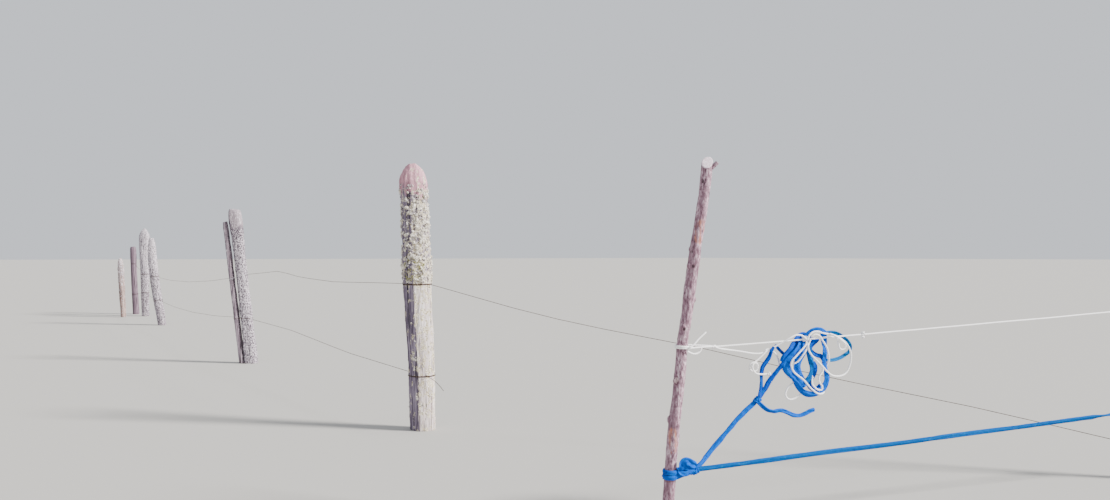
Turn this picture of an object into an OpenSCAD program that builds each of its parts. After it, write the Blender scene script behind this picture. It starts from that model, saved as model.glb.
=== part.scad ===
// Pasture fence of hewn posts and slack wire, with a rope gateway between two round stakes.
// The origin is at the tall post's foot, +X runs along the fence towards the near stake,
// and the rope gateway swings off to +Y. All feet stand on z = 0.

/* [Fence line] */
// Tall post to split post, centre to centre
bay_1 = 3540; // [2500:10:4500]
// Split post to leaning post
bay_2 = 4990; // [3500:10:6000]
// Leaning post to pointed post
bay_3 = 2040; // [1200:10:3000]
// Pointed post to round post
bay_4 = 600; // [450:10:900]
// Tall post to near stake, the open way through
gateway_w = 2100; // [1500:10:3000]
// How far the split post stands out of the line
split_out = 75; // [0:1:120]
// How far the leaning post stands out of the line
leaning_out = 78; // [0:1:120]
// How far the round post stands out of the line
round_out = 67; // [0:1:120]
// How far the short post stands out of the line
short_out = 326; // [280:2:450]
// How far the near stake stands out of the line
near_out = 47; // [0:1:120]
// Turn of the hewn faces from the fence line, in degrees
face_turn = 55.7; // [50:0.1:62]

/* [Tall post] */
// Height above ground
tall_h = 1526; // [1300:2:1800]
// Width across the hewn faces
tall_w = 166; // [130:1:200]
// Depth of the post
tall_deep = 130; // [100:1:160]
// Sideways lean of its top
tall_lean = -77; // [-150:1:50]

/* [Split post] */
// Height above ground
split_h = 1424; // [1200:2:1700]
// Width of the main piece
split_w = 112; // [90:1:140]
// Depth of the main piece
split_deep = 92; // [70:1:120]
// Sideways lean of its top
split_lean = -163; // [-200:1:0]
// Height of the split-off slat
slat_h = 1306; // [1100:2:1400]
// Width of the slat
slat_w = 46; // [36:1:60]
// Depth of the slat
slat_deep = 74; // [60:1:88]
// Gap between slat and main piece at the ground
slat_gap = 8; // [4:0.5:14]
// Extra gap between slat and main piece at the slat's top
slat_spread = 12; // [0:1:30]

/* [Far posts] */
// Height of the leaning post
leaning_h = 1240; // [1000:2:1500]
// Width of the leaning post
leaning_w = 122; // [100:1:150]
// Depth of the leaning post
leaning_deep = 104; // [80:1:130]
// Sideways lean of its top
leaning_lean = -143; // [-200:1:0]
// Height of the pointed post
pointed_h = 1436; // [1200:2:1700]
// Width of the pointed post
pointed_w = 162; // [130:1:190]
// Depth of the pointed post
pointed_deep = 118; // [90:1:150]
// Sideways lean of its top
pointed_lean = -26; // [-100:1:50]
// Height of the round post
round_h = 1141; // [900:2:1400]
// Diameter of the round post
round_d = 104; // [80:1:130]
// Sideways lean of its top
round_lean = -51; // [-120:1:50]
// Height of the short post
short_h = 948; // [700:2:1200]
// Width of the short post
short_w = 98; // [80:1:120]
// Sideways lean of its top
short_lean = -55; // [-120:1:50]

/* [Stakes] */
// Height of the near stake at the middle of its saw cut
near_h = 1335; // [1150:5:1500]
// Diameter of the near stake
near_d = 41.5; // [36:0.5:56]
// Sideways lean of its top
near_lean = 150; // [0:1:200]
// Height of the end stake
end_h = 1290; // [1150:5:1500]
// Diameter of the end stake
end_d = 45; // [36:0.5:56]
// Sideways lean of its top
end_lean = 40; // [-50:1:120]
// Near stake to end stake, along the rope gateway
rope_bay = 2415; // [2000:5:2900]
// Turn of the rope gateway from the fence line, in degrees
rope_turn = 72.5; // [60:0.1:85]

/* [Wire] */
// Wire diameter
wire_d = 3.2; // [2:0.1:5]
// Height of the upper wire at the tall post
upper_z = 833; // [700:2:950]
// Height of the lower wire at the tall post
lower_z = 311; // [240:2:400]
// Height at which the long slack wire is tied to the end stake
long_wire_end_z = 129; // [80:1:170]
// Turns of each wire tie
tie_turns = 2; // [1:1:3]

/* [Rope] */
// Diameter of the white rope
white_d = 7; // [5:0.5:9]
// Height of the white rope at the near stake
white_near_z = 666; // [560:1:720]
// Height of the white rope at the end stake
white_end_z = 767; // [700:1:860]
// Width of the blue band
band_w = 18; // [14:0.5:22]
// Thickness of the blue band
band_t = 5; // [2.5:0.5:7]
// Height of the blue band at the near stake
blue_near_z = 223; // [200:1:260]
// Height of the blue band at the end stake
blue_end_z = 324; // [260:1:420]
// Length of the white noose, from the stake's axis to its knot
white_noose = 119; // [90:1:160]
// Length of the blue noose, from the stake's axis to its knot
blue_noose = 64; // [50:1:90]
// Half twists in the blue band between its knots
band_twists = 5; // [0:1:9]
// Place of the small knot on the white rope, from the near stake
small_knot_s = 827; // [810:1:900]

/* [Hidden] */
// Clearance between a wire or rope and what it is drawn round
seat = 0.25;
// Clearance between a piece and the neighbour it ends against or lies on
lap = 0.12;
wire_sides = 6;
rope_sides = 8;
knot_sides = 24;
UP = [0, 0, 1];

// Small vector helpers
function unit(v) = v / norm(v);
function mix(a, b, t) = a + (b - a) * t;
function turned(v, deg) = [v[0] * cos(deg) - v[1] * sin(deg), v[0] * sin(deg) + v[1] * cos(deg)];
function on_ground(v) = [v[0], v[1], 0];

// A post is a list: foot, height, width, depth, lean, outline, profile, slope of the top cut
function foot_of(p) = p[0];
function height_of(p) = p[1];
function width_of(p) = p[2];
function depth_of(p) = p[3];
function lean_of(p) = p[4];
function outline_of(p) = p[5];
function profile_of(p) = p[6];
function cut_of(p) = p[7];

// The channels of a profile row: share of the height, width factor, depth factor, and bow as
// thousandths of the height
function channel(p, t, k) = lookup(t, [for (row = profile_of(p)) [row[0], row[k]]]);

// Outlines are drawn inside a unit square, anticlockwise from the left, and their corners are cut
function cut_corners(pts, r) = [
    for (i = [0:len(pts) - 1])
        let (q = pts[i], a = pts[(i + len(pts) - 1) % len(pts)], b = pts[(i + 1) % len(pts)])
        each [mix(q, a, r), mix(q, b, r)]
];
function fitted(pts) =
    let (x = [for (q = pts) q[0]], y = [for (q = pts) q[1]])
    [for (q = pts) [
        (q[0] - min(x)) / (max(x) - min(x)) - 0.5,
        (q[1] - min(y)) / (max(y) - min(y)) - 0.5
    ]];
function disc(n) = [for (i = [0:n - 1]) [0.5 * cos(180 + i * 360 / n), 0.5 * sin(180 + i * 360 / n)]];

// The post's outline at a height, in the part's frame
function middle_at(p, z) =
    let (t = z / height_of(p), bow = channel(p, t, 3) * height_of(p) / 1000)
    foot_of(p) + turned([lean_of(p) * t + bow, 0], face_turn);
function section(p, z) =
    let (t = z / height_of(p), w = width_of(p) * channel(p, t, 1), d = depth_of(p) * channel(p, t, 2))
    [for (q = outline_of(p)) concat(middle_at(p, z) + turned([q[0] * w, q[1] * d], face_turn), z)];
function top_section(p) =
    let (flat = section(p, height_of(p)), m = middle_at(p, height_of(p)))
    [for (q = flat) let (s = turned([q[0], q[1]] - m, -face_turn)) q + [0, 0, s * cut_of(p)]];

// Skin over a list of rings, closed at both ends
module skin(rings) {
    n = len(rings[0]);
    m = len(rings);
    polyhedron(
        points = [for (r = rings) each r],
        faces = [
            [for (i = [0:n - 1]) i],
            [for (i = [n - 1:-1:0]) (m - 1) * n + i],
            for (k = [0:m - 2]) for (i = [0:n - 1]) let (j = (i + 1) % n) each [
                [k * n + i, (k + 1) * n + i, (k + 1) * n + j],
                [k * n + i, (k + 1) * n + j, k * n + j]
            ]
        ],
        convexity = 6
    );
}

// Skin over a list of rings that comes back to its start
module hoop_skin(rings) {
    n = len(rings[0]);
    m = len(rings);
    polyhedron(
        points = [for (r = rings) each r],
        faces = [
            for (k = [0:m - 1]) for (i = [0:n - 1]) let (j = (i + 1) % n, l = (k + 1) % m) each [
                [k * n + i, l * n + i, l * n + j],
                [k * n + i, l * n + j, k * n + j]
            ]
        ],
        convexity = 6
    );
}

module post(p) {
    rows = profile_of(p);
    skin(concat(
        [for (k = [0:len(rows) - 2]) section(p, rows[k][0] * height_of(p))],
        [top_section(p)]
    ));
}

// Rings of a shape carried along a path, its second axis held towards ref
function along(path, k, loop) =
    let (n = len(path))
    loop ? unit(path[(k + 1) % n] - path[(k + n - 1) % n])
         : unit(path[min(k + 1, n - 1)] - path[max(k - 1, 0)]);
function swept(path, shape, ref, loop = false) = [
    for (k = [0:len(path) - 1])
        let (t = along(path, k, loop), v = unit(ref - t * (t * ref)), u = cross(v, t))
        [for (q = shape) path[k] + q[0] * u + q[1] * v]
];
function bar(d, sides, start = 0) = [
    for (i = [0:sides - 1]) let (a = start + i * 360 / sides) d / 2 * [cos(a), sin(a)]
];
square = [[-1, -1], [1, -1], [1, 1], [-1, 1]];
function strip(w, t) = [for (q = cut_corners(square, 0.2)) [q[0] * w / 2, q[1] * t / 2]];

// Drying check: a tapering cleft that follows the log, open at its skin and deepest half way up.
// Its row: height and half length as shares of the log's, turn round the log in degrees, and
// width and depth as shares of the log's width
check_steps = 8;
check_tip = 0.1;
module check(p, row) {
    across = [cos(row[2]), sin(row[2])];
    side = [-sin(row[2]), cos(row[2]), 0];
    over = 0.08 * width_of(p);
    skin([for (k = [0:check_steps])
        let (
            u = 2 * k / check_steps - 1,
            open = max(check_tip, sqrt(1 - u * u)),
            z = height_of(p) * (row[0] + u * row[1]),
            m = concat(middle_at(p, z), z),
            out = concat(across, 0),
            edge = m + out * way_out(section(p, z), m, out),
            half = open * row[3] * width_of(p) / 2
        )
        [edge - out * open * row[4] * width_of(p), edge + out * over - side * half,
            edge + out * over + side * half]
    ]);
}
module checked_post(p, rows)
    difference() {
        post(p);
        for (row = rows) check(p, row);
    }

// Knots: swellings on a stake's skin. A row is height as a share, turn in degrees, and size as a
// share of the stake's diameter
knot_stretch = 1.4;
module knotty_post(p, rows) {
    post(p);
    for (row = rows) {
        z = row[0] * height_of(p);
        out = [cos(row[1]), sin(row[1]), 0];
        m = concat(middle_at(p, z), z);
        r = row[2] * width_of(p);
        translate(m + out * (way_out(section(p, z), m, out) - 0.3 * r))
            scale([1, 1, knot_stretch])
                sphere(r = r, $fn = 12);
    }
}

// Hoop of wire round a post, a clearance off its faces
function round_post_at(p, z, off) =
    let (s = section(p, z), n = len(s))
    [for (i = [0:n - 1])
        let (
            back = unit(s[i] - s[(i + n - 1) % n]),
            on = unit(s[(i + 1) % n] - s[i]),
            t = unit(back + on),
            out = [t[1], -t[0], 0],
            edge_out = [on[1], -on[0], 0]
        )
        s[i] + out * off / max(0.75, out * edge_out)
    ];
flat_half = wire_d / 2 * cos(30);
tie_off = flat_half + seat;
land_off = 2 * flat_half + seat + lap;
function tie_path(p, z, turns) =
    let (n = len(outline_of(p)), pitch = wire_d + 2 * seat)
    [for (k = [0:n * turns])
        let (h = z + pitch * (k / n - turns / 2))
        round_post_at(p, h, tie_off)[k % n]
    ];
module wire_tie(p, z) skin(swept(tie_path(p, z, tie_turns), bar(wire_d, wire_sides, 30), UP));

// How far a point inside a hoop is from the hoop, along a direction
function way_out(hoop, q, dir) =
    let (n = len(hoop))
    min([for (i = [0:n - 1])
        let (e = hoop[(i + 1) % n] - hoop[i], out = [e[1], -e[0], 0], toward = out * dir)
        if (toward > 0.001) (out * on_ground(hoop[i] - q)) / toward
    ]);

// Where a wire that runs off in a direction starts, on the outside of the tie
function start_of_wire(p, z, dir) =
    let (
        hoop = hoop_at(p, z, land_off),
        m = concat(middle_at(p, z), z),
        q = m + dir * way_out(hoop, m, dir)
    )
    q + UP * rise_at(p, z, q);
function landed(ring, p, z, dir) =
    let (hoop = hoop_at(p, z, land_off))
    [for (q = ring) q + dir * way_out(hoop, q, dir)];

// Slack wire between two posts, with its dips as rows of share of the bay and rise in mm
wire_steps = 14;
function slack_path(a, b, dips) = [
    for (k = [0:wire_steps]) let (s = k / wire_steps) mix(a, b, s) + UP * lookup(s, dips)
];
module slack_wire(p, zp, q, zq, dips) {
    dir = unit(on_ground(middle_at(q, zq) - middle_at(p, zp)));
    path = slack_path(start_of_wire(p, zp, dir), start_of_wire(q, zq, -dir), dips);
    rings = swept(path, bar(wire_d, wire_sides), UP);
    skin([
        landed(rings[0], p, zp, dir),
        for (k = [1:wire_steps - 1]) rings[k],
        landed(rings[wire_steps], q, zq, -dir)
    ]);
}

// Outlines of the posts, hewn with an axe from split logs
tall_outline = fitted(cut_corners(
    [[-0.5, 0.06], [-0.14, -0.5], [0.32, -0.4], [0.5, -0.02], [0.34, 0.4], [-0.24, 0.5]], 0.22));
split_outline = fitted(cut_corners(
    [[-0.5, -0.34], [-0.3, -0.5], [0.3, -0.46], [0.5, -0.1], [0.42, 0.42], [-0.46, 0.5]], 0.2));
slat_outline = fitted(cut_corners(
    [[0.5, -0.44], [0.46, 0.44], [-0.2, 0.5], [-0.5, 0.1], [-0.4, -0.42]], 0.16));
leaning_outline = fitted(cut_corners(
    [[-0.5, -0.1], [-0.24, -0.5], [0.3, -0.46], [0.5, 0.04], [0.26, 0.5], [-0.3, 0.44]], 0.24));
pointed_outline = fitted(cut_corners(
    [[-0.5, 0.0], [-0.4, -0.4], [0.06, -0.5], [0.44, -0.34], [0.5, 0.2], [0.1, 0.5], [-0.4, 0.38]], 0.22));
short_outline = fitted(cut_corners(
    [[-0.5, 0.1], [-0.3, -0.44], [0.2, -0.5], [0.5, -0.06], [0.3, 0.46], [-0.26, 0.5]], 0.24));

// Profiles, from the foot up
tall_profile = [
    [0, 0.86, 0.92, -7.9], [0.08, 0.9, 0.95, -5.2], [0.2, 0.92, 1, -2.6], [0.36, 0.94, 1, -2.6],
    [0.52, 0.98, 0.98, -3.3], [0.66, 1, 0.97, -2], [0.8, 0.96, 0.92, 0], [0.875, 0.96, 0.88, 0.7],
    [0.915, 1, 0.86, 0], [0.934, 0.99, 0.82, -0.7], [0.953, 0.9, 0.74, -0.7], [0.975, 0.72, 0.6, 0],
    [0.989, 0.5, 0.46, 0.7], [1, 0.28, 0.32, 0.7]
];
split_profile = [
    [0, 1, 1, 0], [0.12, 0.96, 0.98, 0.7], [0.3, 0.88, 0.95, 1.4], [0.5, 0.84, 0.94, 2.1],
    [0.7, 0.88, 0.96, 1.4], [0.85, 0.98, 0.98, 0.7], [0.96, 1, 0.95, 0], [0.985, 0.94, 0.88, 0],
    [1, 0.8, 0.74, 0]
];
slat_profile = [
    [0, 1, 1, 0], [0.25, 0.96, 0.98, 0], [0.5, 0.92, 0.97, 0], [0.75, 0.9, 0.94, 0],
    [0.94, 0.86, 0.9, 0], [1, 0.6, 0.72, 0]
];
leaning_profile = [
    [0, 0.92, 0.94, 12.9], [0.14, 0.98, 1, 7.3], [0.32, 1, 1, -7.3], [0.5, 0.98, 0.98, -14.5],
    [0.68, 1, 0.98, -16.1], [0.82, 0.96, 0.94, -11.3], [0.9, 0.86, 0.86, -7.3],
    [0.96, 0.66, 0.7, -3.2], [1, 0.38, 0.44, 0]
];
pointed_profile = [
    [0, 0.68, 0.8, 0], [0.12, 0.7, 0.84, 0], [0.3, 0.76, 0.9, 0.7], [0.5, 0.84, 0.96, 1.4],
    [0.66, 0.94, 1, 0.7], [0.8, 1, 1, 0], [0.91, 0.98, 0.92, 0], [0.95, 0.78, 0.74, 0],
    [0.98, 0.46, 0.48, 0], [1, 0.16, 0.22, 0]
];
round_profile = [
    [0, 1, 1, 5.3], [0.2, 0.96, 0.96, 1.8], [0.45, 0.94, 0.94, -2.6], [0.735, 0.92, 0.92, -2.6],
    [0.739, 0.86, 0.86, -2.6], [0.751, 0.86, 0.86, -2.6], [0.755, 0.95, 0.95, -2.6],
    [0.88, 0.95, 0.95, -0.9], [0.97, 0.9, 0.9, 0], [1, 0.72, 0.72, 0]
];
short_profile = [
    [0, 0.84, 0.9, 0], [0.2, 0.9, 0.96, 0], [0.45, 0.96, 1, -2.1], [0.7, 1, 1, -2.1],
    [0.86, 0.94, 0.94, 0], [0.94, 0.74, 0.76, 0], [1, 0.34, 0.4, 0]
];
near_profile = [
    [0, 1.06, 1.06, 0], [0.11, 1.04, 1.04, -3.7], [0.2, 1.02, 1.02, -8.2], [0.26, 1.05, 1.05, -9.7],
    [0.3, 1, 1, -10.5], [0.36, 1, 1, -9.4], [0.42, 1.02, 1.02, -9.7], [0.47, 1, 1, -11.2],
    [0.525, 0.98, 0.98, -12.7], [0.59, 1, 1, -9], [0.66, 1.03, 1.03, -9], [0.72, 1.06, 1.06, -6.7],
    [0.78, 0.98, 0.98, -6], [0.84, 1, 1, -1.5], [0.9, 0.96, 0.96, 0.7], [0.94, 1, 1, 0.7],
    [1, 1, 1, 0]
];
end_profile = [
    [0, 1.05, 1.05, 0], [0.12, 1.02, 1.02, 3.9], [0.24, 1, 1, 7], [0.28, 1.07, 1.07, 7.8],
    [0.33, 1, 1, 8.5], [0.45, 0.98, 0.98, 10.9], [0.55, 1.02, 1.02, 10.9], [0.62, 1.08, 1.08, 9.3],
    [0.67, 0.99, 0.99, 8.5], [0.78, 0.96, 0.96, 6.2], [0.9, 0.94, 0.94, 2.3], [1, 0.94, 0.94, 0]
];

// Posts in their places
split_x = -bay_1;
leaning_x = split_x - bay_2;
pointed_x = leaning_x - bay_3;
round_x = pointed_x - bay_4;
square_cut = [0, 0];
TALL = [[0, 0], tall_h, tall_w, tall_deep, tall_lean, tall_outline, tall_profile, square_cut];
split_cut = [-0.1, 0.05];
SPLIT = [[split_x, -split_out], split_h, split_w, split_deep, split_lean, split_outline,
    split_profile, split_cut];
slat_foot = foot_of(SPLIT) - turned([(split_w + slat_w) / 2 + slat_gap, 0], face_turn);
slat_lean = split_lean * slat_h / split_h - slat_spread;
slat_cut = [0.3, 0.1];
SLAT = [slat_foot, slat_h, slat_w, slat_deep, slat_lean, slat_outline, slat_profile, slat_cut];
LEANING = [[leaning_x, -leaning_out], leaning_h, leaning_w, leaning_deep, leaning_lean,
    leaning_outline, leaning_profile, square_cut];
POINTED = [[pointed_x, 0], pointed_h, pointed_w, pointed_deep, pointed_lean,
    pointed_outline, pointed_profile, square_cut];
round_cut = [0.05, 0.1];
ROUND = [[round_x, -round_out], round_h, round_d, round_d, round_lean, disc(14), round_profile, round_cut];
short_ahead = 36;
short_foot = [pointed_x + short_ahead, -short_out];
short_deep = 0.86 * short_w;
SHORT = [short_foot, short_h, short_w, short_deep, short_lean, short_outline, short_profile, square_cut];
stake_sides = 16;
near_foot = [gateway_w, -near_out];
near_cut = [0.3, 1.05];
NEAR = [near_foot, near_h, near_d, near_d, near_lean, disc(stake_sides), near_profile, near_cut];
rope_dir = [cos(rope_turn), sin(rope_turn), 0];
rope_front = [sin(rope_turn), -cos(rope_turn), 0];
end_foot = near_foot + rope_bay * [rope_dir[0], rope_dir[1]];
end_cut = [-0.3, -0.2];
END = [end_foot, end_h, end_d, end_d, end_lean, disc(stake_sides), end_profile, end_cut];

// A point of the rope gateway: along it from the near stake, up, and out to the front
function in_gateway(s, z, out = 0) = on_ground(near_foot) + s * rope_dir + z * UP + out * rope_front;

// The checks of each log and the knots of each stake
tall_checks = [
    [0.38, 0.15, 301, 0.05, 0.24], [0.78, 0.15, 289, 0.05, 0.2], [0.1, 0.08, 350, 0.04, 0.16],
    [0.4, 0.14, 20, 0.035, 0.14], [0.5, 0.32, 118, 0.045, 0.22], [0.36, 0.3, 212, 0.05, 0.24]
];
split_checks = [
    [0.64, 0.24, 240, 0.06, 0.26], [0.3, 0.22, 300, 0.05, 0.24], [0.6, 0.3, 95, 0.055, 0.28]
];
slat_checks = [[0.5, 0.3, 250, 0.09, 0.3]];
leaning_checks = [
    [0.55, 0.3, 250, 0.06, 0.26], [0.3, 0.2, 310, 0.05, 0.24], [0.5, 0.3, 100, 0.06, 0.26]
];
pointed_checks = [
    [0.36, 0.3, 252, 0.06, 0.26], [0.66, 0.2, 318, 0.04, 0.2], [0.5, 0.3, 100, 0.05, 0.24]
];
round_checks = [[0.42, 0.26, 268, 0.045, 0.24], [0.4, 0.28, 80, 0.05, 0.26]];
short_checks = [[0.4, 0.3, 265, 0.06, 0.26], [0.5, 0.3, 60, 0.05, 0.22]];
near_knots = [
    [0.765, 248, 0.2], [0.72, 268, 0.22], [0.555, 300, 0.22], [0.41, 262, 0.2], [0.305, 225, 0.26],
    [0.63, 60, 0.22], [0.35, 110, 0.22]
];
end_knots = [[0.3, 250, 0.22], [0.68, 300, 0.24], [0.83, 60, 0.22], [0.46, 120, 0.22]];

module tall_post() color("#b9ab93") checked_post(TALL, tall_checks);
module split_post() color("#a7a09a") checked_post(SPLIT, split_checks);
module split_post_slat() color("#6f6468") checked_post(SLAT, slat_checks);
module leaning_post() color("#aca6a0") checked_post(LEANING, leaning_checks);
module pointed_post() color("#b0a9a2") checked_post(POINTED, pointed_checks);
module round_post() color("#7d6c6a") checked_post(ROUND, round_checks);
module short_post() color("#aaa196") checked_post(SHORT, short_checks);
module near_stake() color("#8f6f6c") knotty_post(NEAR, near_knots);
module end_stake() color("#8f6f6c") knotty_post(END, end_knots);

// Stub of a cut side branch, on the near stake's shoulder below the saw cut
stub_below = 0.75 * near_d;
stub_z = near_h - stub_below;
stub_d = near_d * 0.4;
stub_len = near_d * 1.02;
stub_rise = 0.42;
stub_curl = near_d * 0.02;
stub_steps = 4;
module near_stake_stub() {
    side = turned([1, -0.25], face_turn);
    dir = unit([side[0], side[1], stub_rise]);
    start = concat(middle_at(NEAR, stub_z), stub_z);
    path = [for (k = [0:stub_steps]) start + dir * stub_len * k / stub_steps + UP * k * k * stub_curl];
    grown = near_d + 2 * lap;
    color("#a58480")
        difference() {
            skin(swept(path, bar(stub_d, 10), unit(cross(dir, UP))));
            post([near_foot, near_h, grown, grown, near_lean, disc(stake_sides), near_profile, near_cut]);
        }
}

// Wires, bay by bay from the tall post outwards
split_upper_z = 826;
split_lower_z = 417;
leaning_upper_z = 692;
leaning_lower_z = 360;
pointed_upper_z = 688;
pointed_lower_z = 385;
round_upper_z = 850;
round_lower_z = 340;
humped = [[0, 0], [0.15, -6], [0.35, -16], [0.55, 4], [0.7, 46], [0.85, 22], [1, 0]];
sagging = [[0, 0], [0.25, -45], [0.5, -62], [0.75, -48], [1, 0]];
level = [[0, 0], [0.3, -12], [0.6, -16], [1, 0]];
lifted = [[0, 0], [0.3, -10], [0.65, 18], [1, 0]];
straight = [[0, 0], [1, 0]];
long_dips = [[0, 0], [0.18, -33], [0.3, -27], [0.42, -10], [0.6, -12], [0.8, 6], [1, 0]];
wire_tone = "#4a4644";
module upper_wire_1() color(wire_tone) slack_wire(TALL, upper_z, SPLIT, split_upper_z, humped);
module upper_wire_2() color(wire_tone)
    slack_wire(SPLIT, split_upper_z, LEANING, leaning_upper_z, sagging);
module upper_wire_3() color(wire_tone)
    slack_wire(LEANING, leaning_upper_z, POINTED, pointed_upper_z, level);
module upper_wire_4() color(wire_tone) slack_wire(POINTED, pointed_upper_z, ROUND, round_upper_z, straight);
module lower_wire_1() color(wire_tone) slack_wire(TALL, lower_z, SPLIT, split_lower_z, lifted);
module lower_wire_2() color(wire_tone)
    slack_wire(SPLIT, split_lower_z, LEANING, leaning_lower_z, sagging);
module lower_wire_3() color(wire_tone)
    slack_wire(LEANING, leaning_lower_z, POINTED, pointed_lower_z, level);
module lower_wire_4() color(wire_tone) slack_wire(POINTED, pointed_lower_z, ROUND, round_lower_z, straight);
module long_wire() color(wire_tone) slack_wire(TALL, upper_z, END, long_wire_end_z, long_dips);

// Broken end of the lower wire, hanging off the tall post towards the gateway
broken_len = 210;
broken_drop = 52;
broken_steps = 6;
module lower_wire_end() {
    dir = [1, 0, 0];
    path = [for (k = [0:broken_steps]) let (t = k / broken_steps)
        start_of_wire(TALL, lower_z, dir) + [broken_len * t, 0, -broken_drop * t * t]];
    rings = swept(path, bar(wire_d, wire_sides), UP);
    color(wire_tone)
        skin([landed(rings[0], TALL, lower_z, dir), for (k = [1:broken_steps]) rings[k]]);
}

tie_tone = "#3b3735";
module tall_post_upper_tie() color(tie_tone) wire_tie(TALL, upper_z);
module tall_post_lower_tie() color(tie_tone) wire_tie(TALL, lower_z);
module leaning_post_ties() color(tie_tone) {
    wire_tie(LEANING, leaning_upper_z);
    wire_tie(LEANING, leaning_lower_z);
}
module pointed_post_ties() color(tie_tone) {
    wire_tie(POINTED, pointed_upper_z);
    wire_tie(POINTED, pointed_lower_z);
}
module round_post_ties() color(tie_tone) {
    wire_tie(ROUND, round_upper_z);
    wire_tie(ROUND, round_lower_z);
}
module end_stake_wire_tie() color(tie_tone) wire_tie(END, long_wire_end_z);

// Loop of wire that holds the slat against the split post, rising from the slat to the far edge
upper_tie_rise = 34;
function split_side(q) = turned([q[0], q[1]] - middle_at(SPLIT, split_upper_z), -face_turn)[0];
function rise_at(p, z, q) =
    p == SPLIT && z == split_upper_z ? upper_tie_rise * (split_side(q) / split_w - 0.5) : 0;
function tilted(p, z, off) =
    let (s = round_post_at(p, z, off))
    [for (i = [0:len(s) - 1]) round_post_at(p, z + rise_at(SPLIT, z, s[i]), off)[i]];
function pair_hoop(z, off) =
    let (
        pts = concat(tilted(SPLIT, z, off), tilted(SLAT, z, off)),
        far = [for (a = [0:6:359]) let (reach = [for (q = pts) q * [cos(a), sin(a), 0]])
            search(max(reach), reach)[0]]
    )
    [for (k = [0:len(far) - 1]) if (far[k] != far[(k + len(far) - 1) % len(far)]) pts[far[k]]];
function hoop_at(p, z, off) = p == SPLIT ? pair_hoop(z, off) : round_post_at(p, z, off);
module pair_tie(z) hoop_skin(swept(pair_hoop(z, tie_off), bar(wire_d, wire_sides, 30), UP, true));
module split_post_upper_tie() color("#8e8b88") pair_tie(split_upper_z);
module split_post_lower_tie() color(tie_tone) pair_tie(split_lower_z);

// Noose round a stake: from its knot along the front, round the far side, and back a little higher
arc_steps = 12;
arm_steps = 3;
function noose(p, z, arm, way, rise, thick, spread) =
    let (
        m = middle_at(p, z),
        r = width_of(p) * channel(p, z / height_of(p), 1) / 2 + thick / 2 + seat,
        open = acos(r / arm),
        arc = [for (k = [0:arc_steps]) let (a = open + (360 - 2 * open) * k / arc_steps)
            r * (cos(a) * way * rope_dir + sin(a) * rope_front)],
        front = arm * way * rope_dir + spread / 2 * rope_front,
        back = arm * way * rope_dir - spread / 2 * rope_front,
        flat = [
            for (k = [0:arm_steps - 1]) mix(front, arc[0], k / arm_steps),
            each arc,
            for (k = [arm_steps - 1:-1:0]) mix(back, arc[arc_steps], k / arm_steps)
        ],
        n = len(flat) - 1
    )
    [for (k = [0:n]) on_ground(m) + flat[k] + UP * (z + rise * sin(180 * k / n))];

// Tight knot: turns of rope wound about an axis, with a flat end towards each strand
function knot_half(long, wide, turns) = [
    for (k = [0:turns - 1]) each [
        [(0.72 + 0.1 * (k == 0 ? 0 : 1)) * wide / 2, long * (k / turns - 0.5)],
        [wide / 2, long * ((k + 0.3) / turns - 0.5)],
        [wide / 2, long * ((k + 0.7) / turns - 0.5)]
    ],
    [0.72 * wide / 2, long / 2]
];
module laid_along(m, v) translate(m) rotate([0, acos(v[2] / norm(v)), atan2(v[1], v[0])]) children();
module knot(m, axis, long, wide, turns)
    laid_along(m, axis)
        rotate_extrude($fn = knot_sides)
            polygon(concat([[0, -long / 2]], knot_half(long, wide, turns), [[0, long / 2]]));

// Places of the knots, each just past the point of its noose
white_knot_len = 2.3 * white_d;
white_knot_w = 2.3 * white_d;
blue_knot_len = 2.7 * band_w;
blue_knot_w = 2.2 * band_w;
function knot_place(p, z, arm, way, long) =
    on_ground(middle_at(p, z)) + (arm + long / 2 + lap) * way * rope_dir + z * UP;
white_a = knot_place(NEAR, white_near_z, white_noose, 1, white_knot_len);
white_b = knot_place(END, white_end_z, white_noose, -1, white_knot_len);
blue_a = knot_place(NEAR, blue_near_z, blue_noose, 1, blue_knot_len);
blue_b = knot_place(END, blue_end_z, blue_noose, -1, blue_knot_len);
white_line = unit(white_b - white_a);
blue_line = unit(blue_b - blue_a);

// White rope, tied off with a noose at each stake
rope_tone = "#efe6e2";
module taut_rod(extra = 0) {
    inset = white_knot_len / 2 + lap;
    laid_along(white_a + inset * white_line, white_line)
        cylinder(h = norm(white_b - white_a) - 2 * inset, d = white_d + extra, $fn = 24);
}
module white_rope() color(rope_tone) taut_rod();
function white_noose_path(p, z, way) = noose(p, z, white_noose, way, 2 * white_d, white_d, 1.1 * white_d);
module white_noose_at(p, z, way) skin(swept(white_noose_path(p, z, way), bar(white_d, rope_sides), UP));
module white_rope_nooses() color(rope_tone) {
    white_noose_at(NEAR, white_near_z, 1);
    white_noose_at(END, white_end_z, -1);
}

// A point of the taut white rope, and the place just in front of it
function along_gateway(q) = (q - on_ground(near_foot)) * rope_dir;
function on_white(s) = mix(white_a, white_b,
    (s - along_gateway(white_a)) / (along_gateway(white_b) - along_gateway(white_a)));
function out_of(q) = (q - on_ground(near_foot)) * rope_front;
function before_white(s) = let (q = on_white(s)) [s, q[2], out_of(q) + white_d + lap];

// Small knot on the white rope: a bead with the rope through it
bead_d = 2.3 * white_d;
bead_half = 1.1 * white_d;
bead_bore = white_d / 2 + lap;
module small_knot()
    laid_along(on_white(small_knot_s), white_line)
        rotate_extrude($fn = knot_sides)
            polygon([[bead_bore, -bead_half], [bead_d / 2, -bead_half / 2],
                [bead_d / 2, bead_half / 2], [bead_bore, bead_half]]);
module white_rope_knots() color(rope_tone) {
    knot(white_a, white_line, white_knot_len, white_knot_w, 3);
    knot(white_b, white_line, white_knot_len, white_knot_w, 3);
    small_knot();
}

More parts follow.
